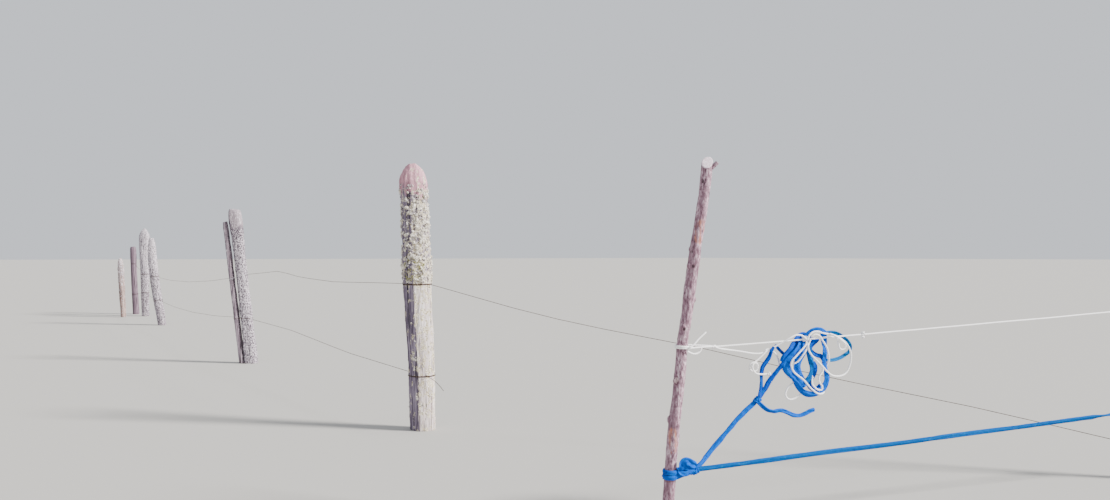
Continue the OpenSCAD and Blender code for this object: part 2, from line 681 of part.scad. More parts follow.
// Blue band, flat and twisting, with two turns in each noose
band_steps = 40;
band_tone = "#1f86e0";
fold_tone = "#1565c8";
function band_rings(a, b, halves) =
    let (t = unit(b - a), v = unit(rope_front - t * (t * rope_front)), u = cross(v, t))
    [for (k = [0:band_steps])
        let (m = mix(a, b, k / band_steps), twist = 180 * halves * k / band_steps)
        [for (q = strip(band_w, band_t)) let (w = turned(q, twist)) m + w[0] * u + w[1] * v]
    ];
module blue_band() {
    inset = (blue_knot_len / 2 + lap) * blue_line;
    color(band_tone) skin(band_rings(blue_a + inset, blue_b - inset, band_twists));
}
module blue_noose_at(p, z, way) {
    path = noose(p, z, blue_noose, way, 0, band_t, 1.2 * band_t);
    skin(swept(path, strip(band_t, band_w), UP));
    low = z - band_w - lap;
    r = width_of(p) * channel(p, low / height_of(p), 1) / 2 + band_t / 2 + seat;
    turn = [for (q = bar(2 * r, 2 * arc_steps)) concat(middle_at(p, low) + q, low)];
    hoop_skin(swept(turn, strip(band_t, band_w), UP, true));
}
module blue_band_nooses() color(fold_tone) {
    blue_noose_at(NEAR, blue_near_z, 1);
    blue_noose_at(END, blue_end_z, -1);
}
module blue_band_knots() color(fold_tone) {
    knot(blue_a, blue_line, blue_knot_len, blue_knot_w, 3);
    knot(blue_b, blue_line, blue_knot_len, blue_knot_w, 3);
}

// Routes of the loose rope: along the gateway, up, out to the front
fork = [364, 462, 12];
fork_len = 1.6 * band_w;
fork_w = 1.5 * band_w;
fork_dir = unit([24, 19, 0]);
function past_fork(way) = fork + way * (fork_len / 2 + lap) * fork_dir;
function on_gateway(q) = [along_gateway(q), q[2], out_of(q)];
branch_start = on_gateway(blue_a) + [0, 2, blue_knot_w / 2 + band_t / 2 + lap];
branch_route = [
    branch_start, [134, 248, 22], [158, 271, 12], [184, 297, 9], [212, 325, 10], [238, 352, 11],
    [257, 371, 12], [275, 390, 12], [298, 410, 12], [318, 427, 12], past_fork(-1.9), past_fork(-1)
];
fork_front = fork + [0, 0, fork_w / 2 + band_t / 2 + lap];
fork_back = fork - [0, 0, fork_w / 2 + band_t / 2 + lap];
slack_out = 6;
on_slack = slack_out + (white_d + band_t) / 2 + lap;
left_route = [
    fork_front, [368, 475, 27], [372, 488, 18], [381, 506, 10], [385, 535, 5], [386, 562, 4], [391, 584, 5],
    [404, 602, 7], [417, 622, 10], [424, 645, on_slack], [431, 660, on_slack]
];
hank_front = 26;
hank_back = 30;
on_hank = hank_front + band_t / 2 + lap;
right_route = [
    past_fork(1), past_fork(1.9), [396, 504, 14], [416, 534, 14], [438, 561, 18], [456, 584, 24],
    [472, 602, on_hank], [488, 616, on_hank], [502, 626, on_hank]
];
tail_route = [
    fork_back, [380, 446, 2], [396, 431, 8], [412, 420, 12], [434, 415, 14], [462, 417, 12],
    [488, 410, 10], [517, 398, 10], [543, 394, 10], [568, 400, 12], [590, 409, 14], [607, 414, 14]
];
slack_start = on_gateway(white_a) + [0, -1, white_knot_w / 2 + white_d / 2 + lap];
slack_route = [
    slack_start, [206, 659, 25], [228, 655, 16], [252, 651, 9], [279, 647, 6], [313, 641, 5], [348, 635, 6],
    [383, 633, 6], [407, 639, 6], [432, 650, 6], [453, 661, 9], [474, 672, 16], before_white(492)
];
near_noose = white_noose_path(NEAR, white_near_z, 1);
function on_arm(t) = on_gateway(mix(near_noose[0], near_noose[arm_steps], t));
noose_tail_route = [
    on_arm(0.87) + [0, 0, white_d + lap], [93, 683, 45], [107, 697, 42], [124, 710, 40], [141, 723, 38]
];
noose_loop_route = [
    on_arm(0.44) - [0, white_d / 2 + lap, 0], on_arm(0.44) - [0, 1.5 * white_d, 0],
    [117, 650, 31], [103, 645, 33], [89, 646, 35], [76, 651, 37]
];
curl_route = [
    [402, 646, 13.4], [392, 631, 13.4], [374, 613, 14], [356, 601, 15], [345, 586, 15], [347, 570, 14],
    [360, 559, 12.4], [378, 554, 11.6], [395, 554, 11.4], [411, 558, 10]
];
rope_on_hank = hank_front + white_d / 2 + lap;
lower_route = [
    [528, 532, rope_on_hank], [514, 522, rope_on_hank], [498, 507, 20], [488, 494, 14], [483, 478, 12],
    [490, 463, 14], [506, 457, 20], [524, 461, 26], [541, 471, rope_on_hank], [556, 482, rope_on_hank]
];
function routed(route) = [for (q = route) in_gateway(q[0], q[1], q[2])];
module loose_band(route) skin(swept(routed(route), strip(band_w, band_t), rope_front));
module loose_rope(route) skin(swept(routed(route), bar(white_d, rope_sides), rope_front));
module blue_branch() color(band_tone) loose_band(branch_route);
module blue_left_strand() color(band_tone) loose_band(left_route);
module blue_right_strand() color(band_tone) loose_band(right_route);
module blue_tail() color(band_tone) loose_band(tail_route);
module white_slack_strand() color(rope_tone) loose_rope(slack_route);
module white_curl() color(rope_tone) loose_rope(curl_route);
module white_lower_loop() color(rope_tone) loose_rope(lower_route);
module white_noose_tail() color(rope_tone) loose_rope(noose_tail_route);
module white_noose_loop() color(rope_tone) loose_rope(noose_loop_route);
module blue_fork_knot() {
    axis = fork_dir[0] * rope_dir + fork_dir[1] * UP;
    color(fold_tone) knot(in_gateway(fork[0], fork[1], fork[2]), axis, fork_len, fork_w, 2);
}

// Hank of spare rope, hung over the white rope: a rounded slab with the rope's way through it
hank_outline = [
    [480, 590], [500, 690], [560, 704], [620, 726], [700, 712], [770, 696], [794, 620],
    [764, 524], [690, 520], [664, 470], [590, 452], [540, 478], [506, 540]
];
module rope_hank() color("#2b76d2")
    difference() {
        translate(on_ground(near_foot))
            rotate([90, 0, rope_turn])
                translate([0, 0, -hank_back])
                    linear_extrude(height = hank_front + hank_back)
                        polygon(cut_corners(cut_corners(hank_outline, 0.25), 0.25));
        taut_rod(2 * lap);
    }

tall_post();
split_post();
split_post_slat();
leaning_post();
pointed_post();
round_post();
short_post();
near_stake();
near_stake_stub();
end_stake();
upper_wire_1();
upper_wire_2();
upper_wire_3();
upper_wire_4();
lower_wire_1();
lower_wire_2();
lower_wire_3();
lower_wire_4();
lower_wire_end();
long_wire();
tall_post_upper_tie();
tall_post_lower_tie();
split_post_upper_tie();
split_post_lower_tie();
leaning_post_ties();
pointed_post_ties();
round_post_ties();
end_stake_wire_tie();
white_rope();
white_rope_nooses();
white_rope_knots();
white_noose_tail();
white_noose_loop();
blue_band();
blue_band_nooses();
blue_band_knots();
blue_branch();
blue_fork_knot();
blue_left_strand();
blue_right_strand();
blue_tail();
white_slack_strand();
white_curl();
white_lower_loop();
rope_hank();
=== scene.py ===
"""Dresses the pasture fence: hewn posts, bark stakes, rusty wire, laid cord and blue woven band."""
import math
import random

import bpy
from mathutils import Matrix, Vector, noise


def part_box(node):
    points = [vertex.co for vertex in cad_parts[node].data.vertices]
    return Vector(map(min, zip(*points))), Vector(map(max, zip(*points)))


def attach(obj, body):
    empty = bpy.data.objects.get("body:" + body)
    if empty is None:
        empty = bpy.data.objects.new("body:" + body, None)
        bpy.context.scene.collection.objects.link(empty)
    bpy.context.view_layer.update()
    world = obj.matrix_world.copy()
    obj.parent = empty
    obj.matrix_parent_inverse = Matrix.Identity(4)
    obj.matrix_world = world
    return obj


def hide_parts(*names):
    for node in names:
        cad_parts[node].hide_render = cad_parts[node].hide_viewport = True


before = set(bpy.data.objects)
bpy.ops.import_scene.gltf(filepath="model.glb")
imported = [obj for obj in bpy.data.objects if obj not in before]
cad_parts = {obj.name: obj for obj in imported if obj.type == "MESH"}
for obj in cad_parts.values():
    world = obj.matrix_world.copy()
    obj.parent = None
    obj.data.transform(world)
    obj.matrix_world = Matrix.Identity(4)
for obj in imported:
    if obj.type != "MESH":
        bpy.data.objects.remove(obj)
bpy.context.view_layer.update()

UP = Vector((0, 0, 1))
MM = 0.001

# The rope gateway's own line: along it from the near stake, up, and out to the front
ROW_START = Vector((2.1, -0.047, 0))
ROW_DIR = Vector((0.300706, 0.953717, 0))
ROW_FRONT = Vector((0.953717, -0.300706, 0))


def in_gateway(point):
    """A place given along the gateway, up and out, in mm, as a point in metres."""
    along, up, out = point
    return ROW_START + ROW_DIR * along * MM + UP * up * MM + ROW_FRONT * out * MM


# Camera at chest height on the gateway's near side, a few metres off
EYE_PLACE = (4.311, -2.039, 1.0)
EYE_WAY = Vector((-0.8258, 0.5639, 0.0061))
EYE_RIGHT = Vector((0.5639, 0.8258, 0))
EYE_BACK = Vector((0.8258, -0.5639, 0))
eye = bpy.data.cameras.new("eye")
eye.sensor_width = 36
eye.lens = 26.59
eye.clip_end = 500
camera = bpy.data.objects.new("eye", eye)
bpy.context.collection.objects.link(camera)
camera.location = EYE_PLACE
camera.rotation_euler = EYE_WAY.to_track_quat("-Z", "Y").to_euler()
bpy.context.scene.camera = camera


# Everyday helpers for modelling by hand
def let_go():
    """Nothing selected, so that the next operator acts on its own piece alone."""
    bpy.ops.object.select_all(action="DESELECT")


def take_up(piece):
    """One piece selected and active."""
    let_go()
    piece.select_set(True)
    bpy.context.view_layer.objects.active = piece


def apply(piece, kind, **settings):
    """Gives the piece a modifier with its settings and applies it."""
    take_up(piece)
    step = piece.modifiers.new(kind.lower(), kind)
    for name, value in settings.items():
        setattr(step, name, value)
    bpy.ops.object.modifier_apply(modifier=step.name)


def smooth(piece, angle):
    """Smooth shading, with edges sharper than the angle in degrees kept."""
    take_up(piece)
    bpy.ops.object.shade_smooth_by_angle(angle=math.radians(angle))


def hand_over(piece, slot, finish, *nodes):
    """Finishes a piece: its material, the body it rides on and the solids it stands for. slot is not used."""
    piece.vertex_groups.clear()
    piece.data.materials.clear()
    piece.data.materials.append(finish)
    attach(piece, "root")
    if nodes:
        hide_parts(*nodes)


def new_piece(name, verts, faces):
    """A piece made of points and faces."""
    mesh = bpy.data.meshes.new(name)
    mesh.from_pydata(verts, [], faces)
    piece = bpy.data.objects.new(name, mesh)
    bpy.context.collection.objects.link(piece)
    return piece


# Materials: one function for colours and one that adds a node
def tone(code):
    """An sRGB hex value as a linear colour, or a share from 0 to 1 as a grey."""
    if isinstance(code, float):
        return [code, code, code, 1.0]
    parts = [int(code[i:i + 2], 16) / 255 for i in (1, 3, 5)]
    return [c / 12.92 if c <= 0.04045 else ((c + 0.055) / 1.055) ** 2.4 for c in parts] + [1.0]


def add(tree, kind, *values, stops=(), **named):
    """Adds a node. Values go to its sockets in order, capitalised names are sockets too and other names
    are settings. A socket given as a value is linked, and stops fill a colour ramp."""
    made = tree.nodes.new("ShaderNode" + kind)
    wires = dict(enumerate(values))
    for name, value in named.items():
        if name[0].isupper():
            wires[name] = value
        else:
            setattr(made, name, value)
    for name, value in wires.items():
        if isinstance(value, bpy.types.NodeSocket):
            tree.links.new(value, made.inputs[name])
        else:
            made.inputs[name].default_value = value
    for k, (place, code) in enumerate(stops):
        ramp = made.color_ramp.elements
        if k >= len(ramp):
            ramp.new(place)
        ramp[k].position = place
        ramp[k].color = tone(code)
    return made.outputs[0]


def blank(name, roughness, **on_shader):
    """A material whose shader has its plain values set, and its node tree."""
    finish = bpy.data.materials.new(name)
    finish.use_nodes = True
    shader = finish.node_tree.nodes["Principled BSDF"]
    shader.inputs["Roughness"].default_value = roughness
    for socket, value in on_shader.items():
        shader.inputs[socket.replace("_", " ")].default_value = value
    return finish, finish.node_tree


def dressed(finish, colour, relief, strength, depth):
    """Gives a material its colour and a relief of that strength and depth, in metres."""
    tree = finish.node_tree
    shader = tree.nodes["Principled BSDF"]
    bump = add(tree, "Bump", Height=relief, Strength=strength, Distance=depth)
    tree.links.new(colour, shader.inputs["Base Color"])
    tree.links.new(bump, shader.inputs["Normal"])
    return finish


def per_mm(size):
    """Pattern scale whose features are about that many millimetres wide."""
    return 1000 / size


def object_place(tree, squeeze=1):
    """Object coordinates, squeezed upright to draw a pattern out along a log."""
    coords = add(tree, "TexCoord").node.outputs["Object"]
    if squeeze == 1:
        return coords
    return add(tree, "Mapping", coords, Scale=(1, 1, squeeze))


def near_points(tree, places, reach, tall=1.0):
    """1 at any of the places and 0 beyond their reach, in metres; tall draws the spots out upwards."""
    total = 0.0
    coords = object_place(tree, 1 / tall)
    for x, y, z in places:
        away = add(tree, "VectorMath", coords, (x, y, z / tall), operation="DISTANCE")
        part = add(tree, "MapRange", away.node.outputs["Value"], reach, reach * 0.45)
        total = add(tree, "Math", total, part, operation="MAXIMUM")
    return total


def facing(tree, way):
    """How far the skin faces a direction, from 0 to 1."""
    normal = add(tree, "NewGeometry").node.outputs["Normal"]
    turned = add(tree, "VectorMath", normal, way, operation="DOT_PRODUCT")
    return add(tree, "MapRange", turned.node.outputs["Value"], -0.14, 0.14)


SHADY_STOPS = (0.3, 0.44, 0.57, 0.72)
SUNNY_STOPS = (0.26, 0.4, 0.55, 0.7)
CRUST_STOPS = (0.3, 0.42, 0.56, 0.7)


def weathered_log(name, shady, sunny, crust_shades, top, cover, gain=0.0, way=(0.9, 0.43, 0), bare=None,
                  patch_mm=22, sunny_share=((0.0, 1.0), (1.0, 1.0))):
    """Cleft log, silvered outdoors: long grain, dark drying checks and crusts of lichen, quite matt. Faces
    turned to way get the sunny ramp and the rest the shady one: painted light and painted shade over the
    wood's own tones.
    cover is rows of share of the height and share of crust, in patches of patch_mm, and gain adds crust on
    the side that faces way. bare is a colour and the shares of the height between which the lichen has let
    the wood show, and sunny_share is rows of share of the height and how much of the painted sunlit ramp
    the side facing way gets there, the rest being painted shade."""
    finish, tree = blank(name, 0.92, Specular_IOR_Level=0.15)
    long_grain = object_place(tree, 0.05)
    grain = add(tree, "TexNoise", long_grain, Scale=per_mm(13), Detail=7.0, Roughness=0.62)
    fibres = add(tree, "TexNoise", long_grain, Scale=per_mm(3), Detail=3.0)
    shade_wood = add(tree, "ValToRGB", grain, stops=zip(SHADY_STOPS, shady))
    sunlit_wood = add(tree, "ValToRGB", grain, stops=zip(SUNNY_STOPS, sunny))
    up = add(tree, "SeparateXYZ", object_place(tree)).node.outputs["Z"]
    height = add(tree, "Math", up, 1 / top, operation="MULTIPLY")
    # Painted light and shade: faces turned to way take the paler sunny ramp and the rest the darker shady
    # ramp, partly the wood's own tones
    side = facing(tree, way)
    sunlit_and_pale_share = add(tree, "ValToRGB", height, stops=sunny_share)
    sunlit_and_pale_share = add(tree, "Math", side, sunlit_and_pale_share, operation="MULTIPLY")
    wood = add(tree, "MixRGB", sunlit_and_pale_share, shade_wood, sunlit_wood)
    if bare:
        colour, low, high = bare
        patch = add(tree, "TexNoise", object_place(tree, 0.5), Scale=per_mm(55), Detail=5.0)
        rise = add(tree, "MapRange", height, low, high, -0.28, 0.3)
        shown = add(tree, "Math", patch, rise, operation="ADD")
        shown = add(tree, "ValToRGB", shown, stops=[(0.5, 0.0), (0.62, 0.9)])
        bare_grain = add(tree, "MixRGB", 0.75, tone(colour), sunlit_wood, blend_type="MULTIPLY")
        bare_grain = add(tree, "MixRGB", 0.3, bare_grain, tone(colour))
        wood = add(tree, "MixRGB", shown, wood, bare_grain)
    checks = add(tree, "TexNoise", object_place(tree, 0.022), Scale=per_mm(34), Detail=2.0)
    lines = add(tree, "ValToRGB", checks, stops=[(0.475, 1.0), (0.487, 0.02), (0.495, 0.02), (0.505, 1.0)])
    below_top = add(tree, "MapRange", height, 0.88, 0.94, 0.9, 0.0)
    wood = add(tree, "MixRGB", below_top, wood, lines, blend_type="MULTIPLY")
    fibre_light = add(tree, "ValToRGB", fibres, stops=[(0.3, 0.3), (0.7, 1.0)])
    wood = add(tree, "MixRGB", 0.7, wood, fibre_light, blend_type="MULTIPLY")
    spots = add(tree, "TexNoise", object_place(tree, 0.7), Scale=per_mm(patch_mm), Detail=6.0, Roughness=0.62)
    amount = add(tree, "ValToRGB", height, stops=cover)
    amount = add(tree, "Math", side, gain, amount, operation="MULTIPLY_ADD")
    amount = add(tree, "Math", spots, amount, operation="ADD")
    crust = add(tree, "ValToRGB", amount, stops=[(0.965, 0.0), (1.0, 1.0)])
    bits = add(tree, "TexNoise", object_place(tree), Scale=per_mm(7), Detail=6.0, Roughness=0.7)
    lichen = add(tree, "ValToRGB", bits, stops=zip(CRUST_STOPS, crust_shades))
    colour = add(tree, "MixRGB", crust, wood, lichen)
    skin = add(tree, "MixRGB", crust, grain, bits)
    skin = add(tree, "MixRGB", below_top, skin, lines, blend_type="MULTIPLY")
    return dressed(finish, colour, skin, 1.0, 0.005)


CREAM_CRUST = ["#4a3c2c", "#ac9c7c", "#e8dfcc", "#fdfaf3"]
GREY_CRUST = ["#4a404c", "#978d97", "#d8d0d7", "#fbf8fa"]
# Wood ramps: the shady-side ramps are darker as painted shade on faces turned from the light, and the
# sunny-side ramps are paler as painted light, over the wood's own tones
VIOLET_SHADED_WOOD = ["#30283a", "#726679", "#a093a6", "#c6b9cc"]
DEEP_SHADE = ["#1a141b", "#3c333d", "#61566a", "#857a8c"]
PALE_SUNLIT_WOOD = ["#7f696b", "#d3c1bf", "#f5e9e7", "#fffaf8"]
GREY_SUNLIT_WOOD = ["#221a22", "#4f444f", "#867986", "#c2b6c0"]
FAR_SUNLIT_WOOD = ["#342a34", "#6a5e69", "#a296a0", "#dcd0d9"]
SLAT_SUNLIT_WOOD = ["#3a2d36", "#82717d", "#b2a1ad", "#dccfd7"]
BROWN_SHADE = ["#3c2e30", "#6f5a5a", "#957f7d", "#b9a4a0"]
BROWN_SUNLIT_WOOD = ["#5a4643", "#9c817b", "#c8aca2", "#e8d4ca"]
LEFT_EDGE = (0.643, 0.766, 0)
LEFT_FACE = Vector((0.26, -0.966, 0))
tall_wood = weathered_log(
    "lichened_oak", VIOLET_SHADED_WOOD, PALE_SUNLIT_WOOD, CREAM_CRUST, 1.526,
    [(0.0, 0.36), (0.5, 0.38), (0.57, 0.41), (0.86, 0.41), (0.93, 0.3)], 0.1, LEFT_EDGE,
    bare=("#eab4c4", 0.78, 0.95),
    sunny_share=((0.0, 1.0), (0.555, 1.0), (0.575, 0.25), (0.9, 0.3), (0.94, 1.0)))
split_wood = weathered_log(
    "speckled_split_oak", DEEP_SHADE, GREY_SUNLIT_WOOD, GREY_CRUST, 1.424,
    [(0.0, 0.46), (0.5, 0.465), (0.8, 0.45), (0.88, 0.38)], 0.03, patch_mm=10, bare=("#e6d8df", 0.8, 0.96))
slat_wood = weathered_log(
    "purple_grey_slat", VIOLET_SHADED_WOOD, SLAT_SUNLIT_WOOD, GREY_CRUST, 1.306, [(0.0, 0.3), (1.0, 0.36)], 0.02)
far_wood = weathered_log(
    "crusted_grey_oak", VIOLET_SHADED_WOOD, FAR_SUNLIT_WOOD, GREY_CRUST, 1.436,
    [(0.0, 0.42), (0.45, 0.45), (0.6, 0.5), (1.0, 0.5)], 0.03, patch_mm=14)
short_wood = weathered_log(
    "old_short_log", BROWN_SHADE, BROWN_SUNLIT_WOOD, GREY_CRUST, 0.948,
    [(0.0, 0.36), (0.5, 0.4), (0.8, 0.48)], 0.02, patch_mm=13)


def worn_pole():
    """Peeled round pole gone mauve-brown: close straight grain with a faint silky shine."""
    finish, tree = blank("peeled_mauve_pole", 0.72, Specular_IOR_Level=0.35)
    grain = add(tree, "TexNoise", object_place(tree, 0.03), Scale=per_mm(9), Detail=6.0, Roughness=0.55)
    colour = add(tree, "ValToRGB", grain,
                 stops=[(0.3, "#33272f"), (0.45, "#5e4d59"), (0.6, "#806d7a"), (0.75, "#a896a3")])
    return dressed(finish, colour, grain, 0.5, 0.002)


pole_wood = worn_pole()


def rough_bark(name, scrapes=(), scars=(), holes=(), cut_face=None):
    """Thin pink-lilac bark on a young trunk: fine upright wrinkles and short cross marks, rubbed to orange
    in places, with pale healed scars, dark holes where side shoots were, and pale wood where it was sawn.
    cut_face is a point of the saw cut and the way it faces."""
    finish, tree = blank(name, 0.82, Specular_IOR_Level=0.25)
    plates = add(tree, "TexNoise", object_place(tree, 0.36), Scale=per_mm(8), Detail=8.0, Roughness=0.66)
    colour = add(tree, "ValToRGB", plates,
                 stops=[(0.3, "#352430"), (0.42, "#806270"), (0.54, "#b393a2"), (0.68, "#f0dde6")])
    veil = add(tree, "TexNoise", object_place(tree, 0.5), Scale=per_mm(50), Detail=4.0)
    worn = add(tree, "ValToRGB", veil, stops=[(0.4, 0.0), (0.66, 0.6)])
    colour = add(tree, "MixRGB", worn, colour, tone("#785664"))
    rings = add(tree, "TexNoise", object_place(tree, 3.2), Scale=per_mm(15), Detail=5.0)
    lines = add(tree, "ValToRGB", rings, stops=[(0.33, 0.4), (0.4, 1.0)])
    colour = add(tree, "MixRGB", 0.4, colour, lines, blend_type="MULTIPLY")
    streaks = add(tree, "TexNoise", object_place(tree, 0.25), Scale=per_mm(12), Detail=5.0, Roughness=0.6)
    scar = near_points(tree, scars, 0.014, 1.6)
    marks = [
        (near_points(tree, scrapes, 0.036, 1.6), streaks, [(0.4, 0.0), (0.62, 0.6)], "#d98a64"),
        (scar, plates, [(0.12, 0.0), (0.24, 0.55), (0.32, 0.55), (0.4, 0.0)], "#54343b"),
        (scar, plates, [(0.36, 0.0), (0.56, 0.6)], "#e8cfca"),
        (near_points(tree, holes, 0.0095, 1.3), streaks, [(0.34, 0.0), (0.5, 0.85)], "#2a1a20")]
    for spot, ragged, stops, shade in marks:
        spot = add(tree, "Math", spot, ragged, operation="MULTIPLY")
        spot = add(tree, "ValToRGB", spot, stops=stops)
        colour = add(tree, "MixRGB", spot, colour, tone(shade))
    skin = add(tree, "MixRGB", 0.35, plates, lines)
    if cut_face:
        place, way = cut_face
        above = add(tree, "VectorMath", object_place(tree), way, operation="DOT_PRODUCT")
        level = place.dot(way)
        sawn = add(tree, "MapRange", above.node.outputs["Value"], level - 0.0022, level - 0.0014)
        rays = add(tree, "TexNoise", object_place(tree), Scale=per_mm(5), Detail=3.0)
        end_grain = add(tree, "ValToRGB", rays, stops=[(0.3, "#cbb2c0"), (0.5, "#e9d7e1"), (0.7, "#f9eef6")])
        colour = add(tree, "MixRGB", sawn, colour, end_grain)
        skin = add(tree, "MixRGB", sawn, skin, tone(0.5))
    return dressed(finish, colour, skin, 0.8, 0.003)


def iron_wire(name, dark, mid, light, metallic, roughness):
    """Drawn iron wire: dull grey metal under rust that comes off in flakes."""
    finish, tree = blank(name, roughness, Metallic=metallic)
    flakes = add(tree, "TexNoise", object_place(tree), Scale=per_mm(6), Detail=5.0)
    colour = add(tree, "ValToRGB", flakes, stops=[(0.35, dark), (0.5, mid), (0.68, light)])
    return dressed(finish, colour, flakes, 0.5, 0.0006)


rusty_wire = iron_wire("rusted_fence_wire", "#2a2220", "#4d3d36", "#7a6257", 0.55, 0.62)
zinc_wire = iron_wire("galvanised_tie_wire", "#a9a8ad", "#d9d9de", "#fafaff", 0.35, 0.42)


def laid_cord():
    """Three-strand synthetic cord: off-white, a little fuzzy, with painted shade in darker lines between its
    yarns.
    """
    finish, tree = blank("laid_white_cord", 0.62, Specular_IOR_Level=0.4, Sheen_Weight=0.25)
    # On the cord's own map, in metres along and turns round: a yarn shows 8 mm long and 1 mm wide
    along = add(tree, "Mapping", add(tree, "UVMap"), Scale=(120, 22, 1))
    yarns = add(tree, "TexNoise", along, Scale=1.0, Detail=3.0)
    # Painted shade: the greyer stop darkens lines between the yarns
    colour = add(tree, "ValToRGB", yarns, stops=[(0.3, "#efe4e5"), (0.45, "#ffffff"), (0.7, "#ffffff")])
    dirt = add(tree, "TexNoise", object_place(tree), Scale=per_mm(45), Detail=4.0)
    stain = add(tree, "ValToRGB", dirt, stops=[(0.5, 0.0), (0.8, 0.2)])
    colour = add(tree, "MixRGB", stain, colour, tone("#dcc0bb"))
    return dressed(finish, colour, yarns, 0.5, 0.0008)


white_yarn = laid_cord()


def woven_band(name, deep, body, bright):
    """Woven polypropylene band: strong blue with fine ribs along it, with painted highlights and painted
    shade in patches as big as its crumples.
    """
    finish, tree = blank(name, 0.6, Specular_IOR_Level=0.03)
    # On the band's own map: each rib shows about 0.7 mm wide
    along = add(tree, "Mapping", add(tree, "UVMap"), Scale=(1.0, 16.0, 1))
    ribs = add(tree, "TexWave", along, Scale=1.0, Distortion=0.6, Detail=1.0, wave_type="BANDS",
               bands_direction="Y")
    creases_and_painted_light = add(tree, "TexNoise", object_place(tree), Scale=per_mm(17), Detail=4.0, Roughness=0.6)
    # Painted light: the pale stop paints highlights and the dark stop paints shade, in patches not tied to
    # the band's folds
    colour = add(tree, "ValToRGB", creases_and_painted_light, stops=[(0.29, deep), (0.43, body), (0.58, body), (0.73, bright)])
    shade = add(tree, "ValToRGB", ribs, stops=[(0.2, "#8fb0e8"), (0.6, "#ffffff")])
    colour = add(tree, "MixRGB", 0.4, colour, shade, blend_type="MULTIPLY")
    skin = add(tree, "MixRGB", 0.35, creases_and_painted_light, ribs)
    return dressed(finish, colour, skin, 0.6, 0.0016)


# Copies of one band: the sunlit copy paints light into its colours and the shaded copy paints shade; the
# paler copy is lighter throughout
blue_weave = woven_band("blue_woven_band", "#002e88", "#0060cb", "#0082da")
sunlit_weave = woven_band("sunlit_blue_band", "#00469c", "#005ca6", "#0074b4")
shaded_weave = woven_band("shaded_blue_band", "#002272", "#004cb6", "#0072cc")
paler_weave = woven_band("paler_blue_weave", "#06448c", "#1270b0", "#4aa4cc")


def tufted_lichen(name, *shades):
    """Branching lichen: cream and yellow-green tufts with painted shade in dark patches, quite matt."""
    finish, tree = blank(name, 0.95, Specular_IOR_Level=0.15)
    bits = add(tree, "TexNoise", object_place(tree), Scale=per_mm(16), Detail=6.0, Roughness=0.7)
    # Painted shade: the darkest stop stands for shade among the tufts
    colour = add(tree, "ValToRGB", bits, stops=zip((0.32, 0.44, 0.56, 0.68), shades))
    return dressed(finish, colour, bits, 0.7, 0.002)


cream_tufts = tufted_lichen("cream_tuft_lichen", "#6a6052", "#cdc5b6", "#f3eee4", "#fffdf9")
green_tufts = tufted_lichen("green_tuft_lichen", "#4c4a30", "#8a8858", "#bab688", "#ded9b6")
grey_tufts = tufted_lichen("grey_tuft_lichen", "#5c5456", "#a0989a", "#d6d0d0", "#f6f3f2")


# Cords: a smooth line through listed points, and skins carried along it. The steps are those
# between two such points, in a wound turn, and in a turn of a noose or of a knot in the band
FINE_STEPS = 16
WOUND_STEPS = 16
NOOSE_STEPS = 22


def smooth_line(points, gap):
    """Points at even steps on a smooth curve through the given ones."""
    pts = [Vector(p) for p in points]
    pts = [pts[0] * 2 - pts[1]] + pts + [pts[-1] * 2 - pts[-2]]
    fine = []
    for k in range(1, len(pts) - 2):
        p0, p1, p2, p3 = pts[k - 1:k + 3]
        t1 = max((p1 - p0).length, 1e-6) ** 0.5
        t2 = t1 + max((p2 - p1).length, 1e-6) ** 0.5
        t3 = t2 + max((p3 - p2).length, 1e-6) ** 0.5
        for step in range(FINE_STEPS):
            t = t1 + (t2 - t1) * step / FINE_STEPS
            a1 = p0.lerp(p1, t / t1)
            a2 = p1.lerp(p2, (t - t1) / (t2 - t1))
            a3 = p2.lerp(p3, (t - t2) / (t3 - t2))
            b1 = a1.lerp(a2, t / t2)
            b2 = a2.lerp(a3, (t - t1) / (t3 - t1))
            fine.append(b1.lerp(b2, (t - t1) / (t2 - t1)))
    fine.append(pts[-2])
    total = sum((b - a).length for a, b in zip(fine, fine[1:]))
    count = max(4, round(total / gap))
    line = [fine[0]]
    walked = 0.0
    for a, b in zip(fine, fine[1:]):
        piece = (b - a).length
        while piece > 0 and len(line) < count and walked + piece >= total * len(line) / count - 1e-9:
            line.append(a.lerp(b, (total * len(line) / count - walked) / piece))
        walked += piece
    line.append(fine[-1])
    return line


def directions(line, looped=False):
    """The direction of the line at each of its points."""
    n = len(line)
    if looped:
        return [(line[(k + 1) % n] - line[k - 1]).normalized() for k in range(n)]
    return [(line[min(k + 1, n - 1)] - line[max(k - 1, 0)]).normalized() for k in range(n)]


def skin_along(name, rings, looped=False):
    """A closed skin over rings of points, with a UV map of metres along and turns around."""
    n = len(rings[0])
    m = len(rings)
    verts = [q for ring in rings for q in ring]
    faces = []
    places = []
    walked = [0.0]
    for a, b in zip(rings, rings[1:] + rings[:1]):
        walked.append(walked[-1] + (b[0] - a[0]).length)
    for k in range(m if looped else m - 1):
        j = (k + 1) % m
        for i in range(n):
            h = (i + 1) % n
            faces.append((k * n + i, k * n + h, j * n + h, j * n + i))
            places.append(((walked[k], i / n), (walked[k], (i + 1) / n),
                           (walked[k + 1], (i + 1) / n), (walked[k + 1], i / n)))
    if not looped:
        for k, order in ((0, -1), (m - 1, 1)):
            faces.append(tuple(k * n + i for i in range(n))[::order])
            places.append(tuple((walked[k], i / n) for i in range(n)))
    piece = new_piece(name, verts, faces)
    chart = piece.data.uv_layers.new(name="along")
    for face, corners in zip(piece.data.polygons, places):
        for loop, place in zip(face.loop_indices, corners):
            chart.data[loop].uv = place
    piece.data.validate()
    smooth(piece, 50)
    return piece


# A laid cord: the length of one turn of its lay, its strands, and the rings that its ends narrow over
LAY_LENGTH = 0.026
STRANDS = 3
END_RINGS = 2


